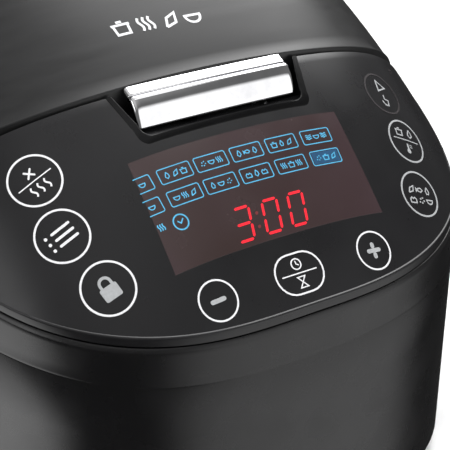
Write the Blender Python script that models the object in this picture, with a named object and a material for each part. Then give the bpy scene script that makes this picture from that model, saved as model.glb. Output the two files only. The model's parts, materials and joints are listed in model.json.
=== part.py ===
"""Electric multicooker with a hinged lid, a sloping touch panel and a push latch.

Run with blender --background --python part.py. Sizes below are millimetres; the meshes
are made in metres. +Z is up, the control panel faces -Y, the lid hinge is at the back.
"""
import math

import bmesh
import bpy
from mathutils import Vector

MM = 0.001
GAP = 0.3                  # clearance between pieces that touch
SEAT_GAP = 0.7             # clearance between the collar and the domed pieces on it

# Plan outline: a superellipse, shared by lid, panel, collar and housing.
HALF_WIDTH = 140.0
HALF_DEPTH = 178.3
CORNER_POWER = 3.0

# Domed top, measured from the centre of the display.
DISPLAY_FROM_FRONT = 38.8
DISPLAY_Y = DISPLAY_FROM_FRONT - HALF_DEPTH
DISPLAY_Z = 161.0
DOME_SLOPE = 0.996
DOME_BEND = 0.0025
CROWN_DROP = 13.33         # how far the sides fall, at half the width
SHOULDER_DROP = 49.56
DOME_CROWN = CROWN_DROP / HALF_WIDTH ** 2
DOME_SHOULDER = SHOULDER_DROP / HALF_WIDTH ** 4
FLATTEN_FROM = 110.0                # behind this the top levels out
FLATTEN_TO = 1.0656 * HALF_DEPTH    # and is highest here

# Heights of the main partings.
PARTING_Z = DISPLAY_Z - 0.5         # lid rests on the collar
DECK_Z = PARTING_Z - 5.5            # ledge that carries the cooking pot
DECK_THICK = 3.0
BASE_Z = 6.0                        # underside of the base, above the feet
BASE_THICK = 3.0
BASE_RIM = 14.0
RIDGE_FRONT_Z = DISPLAY_Z - 63.8    # lower edge of the collar at the front
RIDGE_RISE = 0.2875
RIDGE_LEVELLING = 0.00045
RIDGE_CROWN = 5.49 / HALF_WIDTH ** 2

# Walls.
SKIN = 2.5                 # lid and panel
COLLAR_WALL = 2.5
COLLAR_TOP_OUT = 0.8
COLLAR_RIDGE_OUT = 1.6
HOUSING_WALL = 2.2
HOUSING_TOP_OUT = 0.6
HOUSING_TAPER = math.tan(math.radians(1.0))

# Seam between the lid and the panel, as distance behind the display centre.
LID_SEAM = 42.3
SEAM_Y = DISPLAY_Y + LID_SEAM
SEAM_Z = DISPLAY_Z + DOME_SLOPE * LID_SEAM - DOME_BEND * LID_SEAM ** 2
LID_SEAM_BOW = 37.42 / HALF_WIDTH ** 4
PANEL_BACK = LID_SEAM - 2.1
PANEL_BACK_BEND = 5.49 / HALF_WIDTH ** 2
PANEL_BACK_BOW = 25.85 / HALF_WIDTH ** 4
LID_REAR_Y = HALF_DEPTH - 23.3
LINER_MARGIN = 1.8         # between the lid walls and the liner inside them
SKIRT_END = 6.0            # the panel's rear skirt stops this far from the corner

# Display and latch openings in the panel.
WINDOW_HALF_WIDTH = 53.3
WINDOW_HALF_DEPTH = 17.8
NOTCH_HALF_WIDTH = 42.7
NOTCH_FLARE = 5.0
NOTCH_FRONT = LID_SEAM - 19.3
NOTCH_CORNER = 5.0
BEZEL_WALL = 1.5
BEZEL_FLOOR = SEAM_Z - DISPLAY_Z - 29.2

# Cooking pot and heater.
LID_HALF_LENGTH = (LID_REAR_Y - SEAM_Y) / 2.0
POT_Y = SEAM_Y + LID_HALF_LENGTH
POT_FLANGE = min(HALF_WIDTH - 24.0, LID_HALF_LENGTH - 10.1)
POT_FLANGE_THICK = 1.8
POT_RADIUS = POT_FLANGE - 6.0
POT_WALL = 2.0
POT_HEIGHT = DECK_Z - 30.0
POT_CORNER = 14.0
POT_OPENING = POT_RADIUS + 2.0      # hole in the deck
PLATE_RADIUS = POT_RADIUS - 16.0
PLATE_THICK = 10.0
PLATE_BORE = 17.0
ELEMENT_RADIUS = 0.68 * PLATE_RADIUS
ELEMENT_THICK = 3.4
STANDOFF_REACH = PLATE_RADIUS - 12.0
STANDOFF_RADIUS = 4.0
SHIELD_RADIUS = POT_RADIUS + 5.0
SHIELD_WALL = 1.0
SHIELD_FLOOR_Z = 11.5
SHIELD_BORE = ELEMENT_RADIUS - 4.0
BRACKET_HALF_LENGTH = SHIELD_BORE + 6.0
BRACKET_HALF_WIDTH = 9.0
BRACKET_THICK = 1.4
SENSOR_RADIUS = 14.0
SENSOR_WALL = 1.5
SENSOR_HEIGHT = 9.0

# Inner lid, its gasket and clip.
GASKET_THICK = 2.2
GASKET_INSIDE = POT_RADIUS - 9.0
PLATE_STEP = 3.0           # the inner lid's middle hangs this much lower
SHEET = 1.2
CLIP_RADIUS = 9.0
CLIP_STEM = 4.0
LINER_LIFT = 1.0
LINER_THICK = 2.0

# Lid hinge.
HINGE_RADIUS = 6.0
HINGE_Y = LID_REAR_Y + 1.0 + HINGE_RADIUS
HINGE_Z = PARTING_Z + 2.0 + HINGE_RADIUS
HINGE_X = 0.393 * HALF_WIDTH
HINGE_PIN = 2.5
ARM_HALF_WIDTH = 5.0
BRACKET_CHEEK = 5.6

# Latch, placed from the middle of the lid seam.
LATCH_AHEAD = 4.3
LATCH_BELOW = 21.7
LATCH_PIN = 1.5
BUTTON_MARGIN = 2.1        # between the button's ends and the notch
BUTTON_HALF_WIDTH = NOTCH_HALF_WIDTH - BUTTON_MARGIN
HOOK_HALF_WIDTH = 8.0

# Steam valve.
VALVE_FROM_RIM = 61.0      # from the pot's side wall to the middle of the valve
VALVE_Y = POT_Y + POT_RADIUS - VALVE_FROM_RIM
VALVE_RADIUS = 24.0
VALVE_RECESS = 9.0
STEAM_BORE = 9.0

# Boards: half width, half length, depth under the window and thickness.
DISPLAY_BOX = (55.0, 20.0, 9.0, 7.0)
CONTROL_BOARD = (66.0, 25.0, 16.4, 1.6)
PROCESSOR = (9.0, 9.0, 18.4, 2.0)
POWER_BOARD_Y = HALF_DEPTH - 26.3
POWER_BOARD_HALF_WIDTH = 52.0
POWER_BOARD_LOW = 66.0
POWER_BOARD_HIGH = 116.0
COMPONENT_LOW = 72.0

# Condensate cup.
CUP_HALF_WIDTH = 36.0
CUP_DEPTH = 20.0
CUP_LOW_Z = RIDGE_FRONT_Z - 27.2
CUP_HIGH_Z = CUP_LOW_Z + 52.0
CUP_WALL = 1.6
RAIL_HALF_WIDTH = 20.0
RAIL_THICK = 2.0

# Power inlet.
INLET_Z = 42.0
INLET_HALF_WIDTH = 14.0
INLET_HALF_HEIGHT = 10.5
INLET_WALL = 1.8
INLET_DEPTH = 24.0
INLET_SOCKET_DEPTH = 17.0
INLET_FLANGE = 2.0

# Feet.
FOOT_X = HALF_WIDTH - 58.0
FOOT_Y = HALF_DEPTH - 56.3
FOOT_RADIUS = 11.0
FOOT_STEM = 4.0

for old in list(bpy.data.objects):
    bpy.data.objects.remove(old, do_unlink=True)


# ---------------------------------------------------------------- materials

def material(name, colour, roughness, metallic=0.0):
    made = bpy.data.materials.new(name)
    made.use_nodes = True
    shader = made.node_tree.nodes["Principled BSDF"]
    shader.inputs["Base Color"].default_value = (*colour, 1.0)
    shader.inputs["Roughness"].default_value = roughness
    shader.inputs["Metallic"].default_value = metallic
    made.diffuse_color = (*colour, 1.0)
    return made


MATERIALS = {
    "lid_black": material("lid_black", (0.045, 0.045, 0.05), 0.35),
    "panel_black": material("panel_black", (0.02, 0.02, 0.022), 0.3),
    "body_black": material("body_black", (0.018, 0.018, 0.02), 0.4),
    "inner_black": material("inner_black", (0.05, 0.05, 0.05), 0.6),
    "chrome": material("chrome", (0.85, 0.85, 0.87), 0.08, 1.0),
    "smoked_window": material("smoked_window", (0.09, 0.05, 0.045), 0.25),
    "aluminium": material("aluminium", (0.7, 0.7, 0.71), 0.4, 1.0),
    "pot_coating": material("pot_coating", (0.06, 0.06, 0.065), 0.5),
    "steel": material("steel", (0.55, 0.55, 0.56), 0.35, 1.0),
    "brass": material("brass", (0.75, 0.6, 0.3), 0.35, 1.0),
    "silicone": material("silicone", (0.75, 0.74, 0.7), 0.7),
    "rubber": material("rubber", (0.03, 0.03, 0.03), 0.9),
    "board_green": material("board_green", (0.05, 0.25, 0.1), 0.5),
    "component": material("component", (0.08, 0.08, 0.09), 0.5),
    "clear_plastic": material("clear_plastic", (0.6, 0.62, 0.63), 0.2),
}


# ------------------------------------------------------------------ outlines

def outline_point(angle, grow=0.0):
    power = 2.0 / CORNER_POWER
    along, across = math.cos(angle), math.sin(angle)
    x = (HALF_WIDTH + grow) * math.copysign(abs(along) ** power, along)
    y = (HALF_DEPTH + grow) * math.copysign(abs(across) ** power, across)
    return x, y


def outline(grow=0.0, first=0.0, last=2.0 * math.pi, count=72):
    """Points along the plan outline, counter-clockwise, without the last one."""
    return [outline_point(first + (last - first) * i / count, grow) for i in range(count)]


def outline_angle(x, y):
    """The angle at which the plan outline passes through x, y."""
    power = CORNER_POWER / 2.0
    across = math.copysign(abs(y / HALF_DEPTH) ** power, y)
    along = math.copysign(abs(x / HALF_WIDTH) ** power, x)
    return math.atan2(across, along)


def half_width_at(y):
    return HALF_WIDTH * (1.0 - abs(y / HALF_DEPTH) ** CORNER_POWER) ** (1.0 / CORNER_POWER)


def rear_face(x, grow=0.0):
    return (HALF_DEPTH + grow) * (1.0 - abs(x / (HALF_WIDTH + grow)) ** CORNER_POWER) ** (1.0 / CORNER_POWER)


def lid_seam(x):
    return DISPLAY_Y + LID_SEAM + LID_SEAM_BOW * x ** 4


def panel_back(x):
    return DISPLAY_Y + PANEL_BACK + PANEL_BACK_BEND * x ** 2 + PANEL_BACK_BOW * x ** 4


def seam_end(seam):
    """The x at which a seam curve reaches the plan outline."""
    low, high = 0.0, HALF_WIDTH
    for _ in range(50):
        middle = (low + high) / 2.0
        if half_width_at(seam(middle)) > middle:
            low = middle
        else:
            high = middle
    return low


def lid_outline():
    """Counter-clockwise from the left end of the seam."""
    end = seam_end(lid_seam)
    points = [(end * i / 14.0, lid_seam(end * i / 14.0)) for i in range(-14, 14)]
    rear_half = half_width_at(LID_REAR_Y)
    first = outline_angle(end, lid_seam(end))
    last = outline_angle(rear_half, LID_REAR_Y)
    points += outline(0.0, first, last, 20)
    points += [(rear_half * (1.0 - i / 6.0), LID_REAR_Y) for i in range(0, 12)]
    points += outline(0.0, math.pi - last, math.pi - first, 20)
    return points


def inset(points, distance):
    """The closed outline moved inwards by distance (outwards if negative)."""
    moved = []
    count = len(points)
    for i in range(count):
        here = Vector(points[i])
        before = (here - Vector(points[i - 1])).normalized()
        after = (Vector(points[(i + 1) % count]) - here).normalized()
        normal = Vector((-before.y - after.y, before.x + after.x)).normalized()
        reach = max(0.35, normal.dot(Vector((-after.y, after.x))))
        moved.append(tuple(here + normal * (distance / reach)))
    return moved


def rounded_box_outline(half_x, half_y, radius, centre=(0.0, 0.0), steps=5):
    points = []
    for turn in range(4):
        corner_x = (half_x - radius) * (1 if turn in (0, 3) else -1)
        corner_y = (half_y - radius) * (1 if turn in (0, 1) else -1)
        for step in range(steps + 1):
            angle = math.pi / 2.0 * (turn + step / steps)
            points.append((centre[0] + corner_x + radius * math.cos(angle),
                           centre[1] + corner_y + radius * math.sin(angle)))
    return points


def circle(radius, centre=(0.0, 0.0), count=40):
    """A polygon with flat sides, not corners, on its axes."""
    angles = [2.0 * math.pi * (i + 0.5) / count for i in range(count)]
    return [(centre[0] + radius * math.cos(a), centre[1] + radius * math.sin(a)) for a in angles]


# ------------------------------------------------------------------- heights

def dome(x, y):
    """Height of the domed top over a point of the plan."""
    behind = y - DISPLAY_Y
    crown = DOME_CROWN * x ** 2 + DOME_SHOULDER * x ** 4
    start = min(behind, FLATTEN_FROM)
    rise = DOME_SLOPE * start - DOME_BEND * start ** 2
    if behind > FLATTEN_FROM:
        slope = DOME_SLOPE - 2.0 * DOME_BEND * FLATTEN_FROM
        extra = behind - FLATTEN_FROM
        rise += slope * extra - slope * extra ** 2 / (2.0 * (FLATTEN_TO - FLATTEN_FROM))
    return DISPLAY_Z + rise - crown


def collar_top(x, y):
    return min(dome(x, y) - SKIN - SEAT_GAP, PARTING_Z)


def ridge(x, y):
    back = y + HALF_DEPTH
    return RIDGE_FRONT_Z + RIDGE_RISE * back - RIDGE_LEVELLING * back ** 2 + RIDGE_CROWN * x ** 2


# -------------------------------------------------------------- mesh builders

def solid(name, slot, points, faces, smooth=True):
    """A closed solid from points in millimetres. A slot of None makes a hidden cutter."""
    mesh = bpy.data.meshes.new(name)
    mesh.from_pydata([tuple(c * MM for c in p) for p in points], [], faces)
    work = bmesh.new()
    work.from_mesh(mesh)
    bmesh.ops.recalc_face_normals(work, faces=work.faces)
    work.to_mesh(mesh)
    work.free()
    made = bpy.data.objects.new(name, mesh)
    bpy.context.scene.collection.objects.link(made)
    if slot is None:
        made.hide_render = True
        made.display_type = "WIRE"
        return made
    mesh.materials.append(MATERIALS[slot])
    if smooth:
        mesh.shade_smooth()
        mesh.set_sharp_from_angle(angle=math.radians(35))
    return made


def skin(name, slot, rings, first=None, last=None, loop=False):
    """A solid through rings of equal length, closed by poles, flat caps or onto itself."""
    points = [tuple(p) for ring in rings for p in ring]
    size = len(rings[0])
    faces = []
    pairs = len(rings) if loop else len(rings) - 1
    for r in range(pairs):
        here, there = r * size, (r + 1) % len(rings) * size
        for i in range(size):
            j = (i + 1) % size
            faces.append((here + i, here + j, there + j, there + i))
    if not loop:
        for pole, start in ((first, 0), (last, (len(rings) - 1) * size)):
            if pole is None:
                faces.append(tuple(range(start, start + size)))
            else:
                points.append(tuple(pole))
                tip = len(points) - 1
                faces += [(start + i, start + (i + 1) % size, tip) for i in range(size)]
    return solid(name, slot, points, faces)


def prism(name, slot, plan, low, high):
    """A plan outline raised between two heights, each a number or a function of x, y."""
    def level(value):
        return [(x, y, value(x, y) if callable(value) else value) for x, y in plan]
    return skin(name, slot, [level(low), level(high)])


def polar(plan, centre, height, shares):
    """Rings that shrink the plan outline towards the centre."""
    rings = []
    for share in shares:
        ring = [(centre[0] + (x - centre[0]) * share, centre[1] + (y - centre[1]) * share)
                for x, y in plan]
        rings.append([(x, y, height(x, y)) for x, y in ring])
    return rings


SHARES = (1.0, 0.92, 0.8, 0.62, 0.4, 0.2)


def domed_slab(name, slot, plan, centre, top, bottom, shares=SHARES):
    """A solid between two height functions over a plan outline."""
    upper = polar(plan, centre, top, shares)
    lower = polar(plan, centre, bottom, shares)
    return skin(name, slot, upper[::-1] + lower, (*centre, top(*centre)), (*centre, bottom(*centre)))


def domed_shell(name, slot, plan, centre, wall, top, edge):
    """A hollow cap of flat triangles: a domed roof with side walls that end at the edge height."""
    inner = inset(plan, wall)
    roof = polar(plan, centre, top, SHARES)
    ceiling = polar(inner, centre, lambda x, y: top(x, y) - wall, SHARES)
    outer_edge = [(x, y, edge(x, y)) for x, y in plan]
    inner_edge = [(p[0], p[1], q[2]) for p, q in zip(inner, outer_edge)]
    rings = roof[::-1] + [outer_edge, inner_edge] + ceiling
    shell = skin(name, slot, rings, (*centre, top(*centre)), (*centre, top(*centre) - wall))
    work = bmesh.new()
    work.from_mesh(shell.data)
    bmesh.ops.triangulate(work, faces=work.faces[:])
    work.to_mesh(shell.data)
    work.free()
    return shell


def turned(name, slot, profile, centre=(0.0, 0.0), segments=40, loop=False):
    """A profile of radius, height pairs turned about the vertical through centre."""
    profile = list(profile)
    first = last = None
    if profile[0][0] == 0.0:
        first = (*centre, profile.pop(0)[1])
    if profile[-1][0] == 0.0:
        last = (*centre, profile.pop()[1])
    rings = [[(x, y, z) for x, y in circle(r, centre, segments)] for r, z in profile]
    return skin(name, slot, rings, first, last, loop)


def disc(name, slot, radius, low, high, centre=(0.0, 0.0), segments=32):
    return turned(name, slot, [(0.0, low), (radius, low), (radius, high), (0.0, high)], centre, segments)


def box(name, slot, low, high):
    (x0, y0, z0), (x1, y1, z1) = low, high
    return prism(name, slot, [(x0, y0), (x1, y0), (x1, y1), (x0, y1)], z0, z1)


def rod(name, slot, radius, start, length, axis="X", segments=24):
    """A round bar from start along an axis."""
    ends = []
    for offset in (0.0, length):
        ring = []
        for u, v in circle(radius, count=segments):
            if axis == "X":
                ring.append((start[0] + offset, start[1] + u, start[2] + v))
            elif axis == "Y":
                ring.append((start[0] + u, start[1] + offset, start[2] + v))
            else:
                ring.append((start[0] + u, start[1] + v, start[2] + offset))
        ends.append(ring)
    return skin(name, slot, ends)


def coil(name, slot, radius, wire, turns, low, high, centre, along="Z", per_turn=12):
    """A coil spring as one bent wire with flat ends."""
    rings = []
    steps = int(turns * per_turn)
    pitch = (high - low - 2.0 * wire) / turns
    for step in range(steps + 1):
        angle = 2.0 * math.pi * step / per_turn
        height = low + wire + pitch * step / per_turn
        ring = []
        for k in range(6):
            around = 2.0 * math.pi * k / 6.0
            reach = radius + wire * math.cos(around)
            u, v = reach * math.cos(angle), reach * math.sin(angle)
            w = height + wire * math.sin(around)
            if along == "Z":
                ring.append((centre[0] + u, centre[1] + v, w))
            else:
                ring.append((w, centre[0] + u, centre[1] + v))
        rings.append(ring)
    return skin(name, slot, rings)


def bend(target, cutter, operation):
    change = target.modifiers.new(cutter.name, "BOOLEAN")
    change.operation = operation
    change.solver = "EXACT"
    change.object = cutter
    return target


def cut(target, *cutters):
    for cutter in cutters:
        bend(target, cutter, "DIFFERENCE")
    return target


def join(target, *others):
    for other in others:
        bend(target, other, "UNION")
    return target


def pivot(name, place):
    """An empty on a joint's axis."""
    empty = bpy.data.objects.new(name, None)
    empty.location = Vector(place) * MM
    empty.empty_display_size = 0.02
    bpy.context.scene.collection.objects.link(empty)
    return empty


def hang(empty, *pieces):
    """Parents pieces to an empty without moving them."""
    for piece in pieces:
        piece.parent = empty
        piece.location = -empty.location


# ----------------------------------------------------------- base and housing

def housing_outline(z, inward=0.0):
    drop = max(0.0, RIDGE_FRONT_Z - z)
    return outline(HOUSING_TOP_OUT - HOUSING_TAPER * drop - inward)


def make_base():
    clear = HOUSING_WALL + GAP
    rings = [
        [(x, y, BASE_Z) for x, y in housing_outline(BASE_Z, clear)],
        [(x, y, BASE_Z + BASE_RIM) for x, y in housing_outline(BASE_Z, clear)],
        [(x, y, BASE_Z + BASE_RIM) for x, y in housing_outline(BASE_Z, clear + 2.0)],
        [(x, y, BASE_Z + BASE_THICK) for x, y in housing_outline(BASE_Z, clear + 2.0)],
    ]
    pan = skin("base_pan", "body_black", rings)
    for side in (-1, 1):
        for row in range(5):
            y = POT_Y - 44.0 + 22.0 * row
            slot_plan = rounded_box_outline(13.0, 2.5, 2.4, (side * 34.0, y), 3)
            cut(pan, prism(f"vent_{side}_{row}", None, slot_plan, 0.0, BASE_Z + 8.0))
    for label, x, y in foot_places():
        cut(pan, rod(f"foot_hole_{label}", None, FOOT_STEM + GAP, (x, y, 0.0), 2.0 * BASE_Z, "Z"))


def foot_places():
    return [(f"{row}_{side}", x * FOOT_X, y * FOOT_Y)
            for row, y in (("front", -1), ("rear", 1)) for side, x in (("left", -1), ("right", 1))]


def make_feet():
    for label, x, y in foot_places():
        stem_top = BASE_Z + BASE_THICK + GAP
        profile = [(0.0, 0.0), (FOOT_RADIUS - 1.0, 0.0), (FOOT_RADIUS, 1.0), (FOOT_RADIUS, BASE_Z - GAP),
                   (FOOT_STEM, BASE_Z - GAP), (FOOT_STEM, stem_top), (0.0, stem_top)]
        turned(f"foot_{label}", "rubber", profile, (x, y), 28)


def make_housing():
    shell_rings = []
    for inward, heights in ((0.0, (BASE_Z, 50.0, None)), (HOUSING_WALL, (None, 50.0, BASE_Z))):
        for z in heights:
            if z is None:
                plan = housing_outline(RIDGE_FRONT_Z, inward)
                shell_rings.append([(x, y, ridge(x, y) - GAP) for x, y in plan])
            else:
                shell_rings.append([(x, y, z) for x, y in housing_outline(z, inward)])
    shell = skin("housing_shell", "body_black", shell_rings, loop=True)
    opening = rounded_box_outline(INLET_HALF_WIDTH + GAP, INLET_HALF_HEIGHT + GAP, 2.0, steps=3)
    tunnel = [[(x, y, z + INLET_Z) for x, z in opening] for y in (HALF_DEPTH - 14.0, HALF_DEPTH + 14.0)]
    cut(shell, skin("inlet_hole", None, tunnel))


# ------------------------------------------------------------- collar and deck

def make_upper_frame():
    def around(grow):
        return outline(grow, count=108)

    def rim(grow):
        return [(x, y, collar_top(*p)) for (x, y), p in zip(around(grow), around(0.0))]

    def hem(grow):
        return [(x, y, ridge(x, y)) for x, y in around(grow)]

    rings = [hem(COLLAR_RIDGE_OUT), rim(COLLAR_TOP_OUT), rim(COLLAR_TOP_OUT - COLLAR_WALL),
             hem(COLLAR_RIDGE_OUT - COLLAR_WALL)]
    frame = skin("upper_frame", "body_black", rings, loop=True)
    end = seam_end(panel_back) - SKIRT_END
    front = [(end * i / 10.0, panel_back(end * i / 10.0) - SKIN - 1.5) for i in range(-10, 11)]
    corner = seam_end(lid_seam)
    first = outline_angle(corner, lid_seam(corner) + 4.0)
    sides = outline(COLLAR_TOP_OUT - COLLAR_WALL + 0.8, first, math.pi - first, 60)[1:]
    deck = prism("deck", None, front + sides, DECK_Z - DECK_THICK, DECK_Z)
    join(frame, deck)
    rear = [(x, y) for x, y in outline(COLLAR_TOP_OUT - COLLAR_WALL + 0.8) if y > LID_REAR_Y + 2.0]
    ledge_end = half_width_at(LID_REAR_Y + 1.0) - 2.0
    ledge_plan = [(-ledge_end, LID_REAR_Y + 1.0), (ledge_end, LID_REAR_Y + 1.0)] + rear
    join(frame, prism("rear_ledge", None, ledge_plan, DECK_Z - 1.0, PARTING_Z))
    cut(frame, disc("pot_hole", None, POT_OPENING, DECK_Z - 8.0, DECK_Z + 4.0, (0.0, POT_Y), 64))


# -------------------------------------------------------------- control panel

def surface_patch(name, slot, half_x, front, back, above, below):
    """A rectangle of the domed surface, thickened from below to above it."""
    columns, rows = 18, 6
    points, faces = [], []
    for offset in (above, below):
        for j in range(rows + 1):
            y = front + (back - front) * j / rows
            for i in range(columns + 1):
                x = -half_x + 2.0 * half_x * i / columns
                points.append((x, y, dome(x, y) + offset))
    size = (columns + 1) * (rows + 1)
    for layer in (0, size):
        for j in range(rows):
            for i in range(columns):
                a = layer + j * (columns + 1) + i
                faces.append((a, a + 1, a + columns + 2, a + columns + 1))
    rim = [i for i in range(columns)]
    rim += [j * (columns + 1) + columns for j in range(rows)]
    rim += [rows * (columns + 1) + i for i in range(columns, 0, -1)]
    rim += [j * (columns + 1) for j in range(rows, 0, -1)]
    for here, there in zip(rim, rim[1:] + rim[:1]):
        faces.append((here, there, there + size, here + size))
    return solid(name, slot, points, faces)


def notch_outline(clear=0.0, beyond=0.0):
    """The latch recess in plan: rounded in front, flaring to the seam and then beyond it."""
    wide, front = NOTCH_HALF_WIDTH - clear, DISPLAY_Y + NOTCH_FRONT + clear
    back = SEAM_Y - 1.2
    radius = NOTCH_CORNER
    flare = NOTCH_FLARE * (back + beyond - front - radius) / (back - front - radius)
    points = []
    for side in (-1, 1):
        arc = [(side * (wide - radius + radius * math.sin(a)), front + radius - radius * math.cos(a))
               for a in (math.pi / 2.0 * i / 5.0 for i in range(6))]
        arc.append((side * (wide + flare), back + beyond))
        points += arc[::-1] if side < 0 else arc
    return points


def panel_plate():
    """The curved plate between the front outline and the panel's back edge."""
    end = seam_end(panel_back)
    rows, columns = 7, 34
    sections = []
    for i in range(1, columns):
        x = end * math.sin(math.pi * (i / columns - 0.5))
        front, back = -rear_face(x), panel_back(x)
        ys = [front + (back - front) * j / rows for j in range(rows + 1)]
        sections.append([(x, y, dome(x, y)) for y in ys] + [(x, y, dome(x, y) - SKIN) for y in reversed(ys)])
    corner = panel_back(end)
    tip = dome(end, corner) - SKIN / 2.0
    return skin("control_panel", "panel_black", sections, (-end, corner, tip), (end, corner, tip))


def make_panel():
    panel = panel_plate()
    end = seam_end(panel_back) - SKIRT_END
    sections = []
    for i in range(-12, 13):
        x = end * i / 12.0
        back = panel_back(x)
        top = dome(x, back - SKIN) - SKIN / 2.0
        sections.append([(x, back - SKIN, DECK_Z + GAP), (x, back, DECK_Z + GAP), (x, back, top),
                         (x, back - SKIN, top)])
    skirt = skin("panel_skirt", None, sections)
    join(panel, skirt)
    front, back = DISPLAY_Y - WINDOW_HALF_DEPTH, DISPLAY_Y + WINDOW_HALF_DEPTH
    window = surface_patch("window_hole", None, WINDOW_HALF_WIDTH + GAP, front - GAP, back + GAP, 3.0, -6.0)
    cut(panel, window, prism("notch_hole", None, notch_outline(0.0, 6.0), DISPLAY_Z + BEZEL_FLOOR - GAP,
                             DISPLAY_Z + 60.0))
    surface_patch("display_window", "smoked_window", WINDOW_HALF_WIDTH, front, back, 0.0, -SKIN)


def sloping_board(name, slot, half_x, half_length, depth, thick):
    """A flat board parallel to the display, its top face a given depth under it."""
    angle = math.atan(DOME_SLOPE)
    up = (-math.sin(angle), math.cos(angle))
    along = (math.cos(angle), math.sin(angle))
    rings = []
    for x in (-half_x, half_x):
        ring = []
        for s, t in ((-1, -depth), (1, -depth), (1, -depth - thick), (-1, -depth - thick)):
            y = DISPLAY_Y + along[0] * half_length * s + up[0] * t
            z = DISPLAY_Z + along[1] * half_length * s + up[1] * t
            ring.append((x, y, z))
        rings.append(ring)
    return skin(name, slot, rings)


def make_electronics():
    sloping_board("display_module", "component", *DISPLAY_BOX)
    sloping_board("control_board", "board_green", *CONTROL_BOARD)
    sloping_board("processor", "component", *PROCESSOR)
    board, wide, low = POWER_BOARD_Y, POWER_BOARD_HALF_WIDTH, COMPONENT_LOW
    box("power_board", "board_green", (-wide, board, POWER_BOARD_LOW), (wide, board + 1.6, POWER_BOARD_HIGH))
    box("transformer", "steel", (-46.0, board + 2.0, low), (-20.0, board + 18.0, low + 26.0))
    box("heater_relay", "component", (-4.0, board + 2.0, low), (14.0, board + 18.0, low + 18.0))
    rod("capacitor", "component", 6.0, (34.0, board + 2.0, low + 10.0), 16.0, "Y")


# -------------------------------------------------------------- latch

def make_latch():
    """Black bezel, chrome push bar and hook. Their sections are placed from the lid seam."""
    pin_y, pin_z = SEAM_Y - LATCH_AHEAD, SEAM_Z - LATCH_BELOW
    floor = DISPLAY_Z + BEZEL_FLOOR
    bezel = prism("latch_bezel", "inner_black", notch_outline(GAP), floor, lambda x, y: dome(x, y) - 0.2)
    hollow = notch_outline(GAP + BEZEL_WALL, 6.0)
    cut(bezel, prism("bezel_hollow", None, hollow, floor + BEZEL_WALL, SEAM_Z + 25.0))
    pin_half = NOTCH_HALF_WIDTH + 1.0
    cut(bezel, rod("pin_hole", None, LATCH_PIN + 0.2, (-pin_half - 15.0, pin_y, pin_z),
                   2.0 * pin_half + 30.0))
    rod("latch_pin", "steel", LATCH_PIN, (-pin_half, pin_y, pin_z), 2.0 * pin_half, segments=16)

    def section(points, half_width):
        return [[(x, SEAM_Y + y, SEAM_Z + z) for y, z in points] for x in (-half_width, half_width)]

    bar = [(-1.4, -2.1), (-6.0, -2.3), (-8.5, -5.1), (-10.7, -9.1), (-12.7, -14.9),
           (-10.3, -15.7), (-8.3, -9.7), (-5.7, -6.3), (-1.4, -4.9)]
    button = skin("latch_button", "chrome", section(bar, BUTTON_HALF_WIDTH))
    claw = [(-7.1, -8.7), (-6.7, -24.8), (-1.7, -24.8), (-1.7, -11.7), (3.1, -9.1), (2.7, -7.3),
            (-1.9, -6.1), (-4.3, -6.3)]
    hook = skin("latch_hook", "inner_black", section(claw, HOOK_HALF_WIDTH))
    wide = 2.0 * HOOK_HALF_WIDTH
    cut(hook, rod("hook_bore", None, LATCH_PIN + GAP, (-wide, pin_y, pin_z), 2.0 * wide))
    hang(pivot("latch_pivot", (0.0, pin_y, pin_z)), button, hook)
    coil("latch_spring", "steel", 3.2, 0.5, 4.0, floor + BEZEL_WALL + GAP, SEAM_Z - 16.1,
         (22.0, SEAM_Y - 10.7))


# -------------------------------------------------------------- lid

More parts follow.
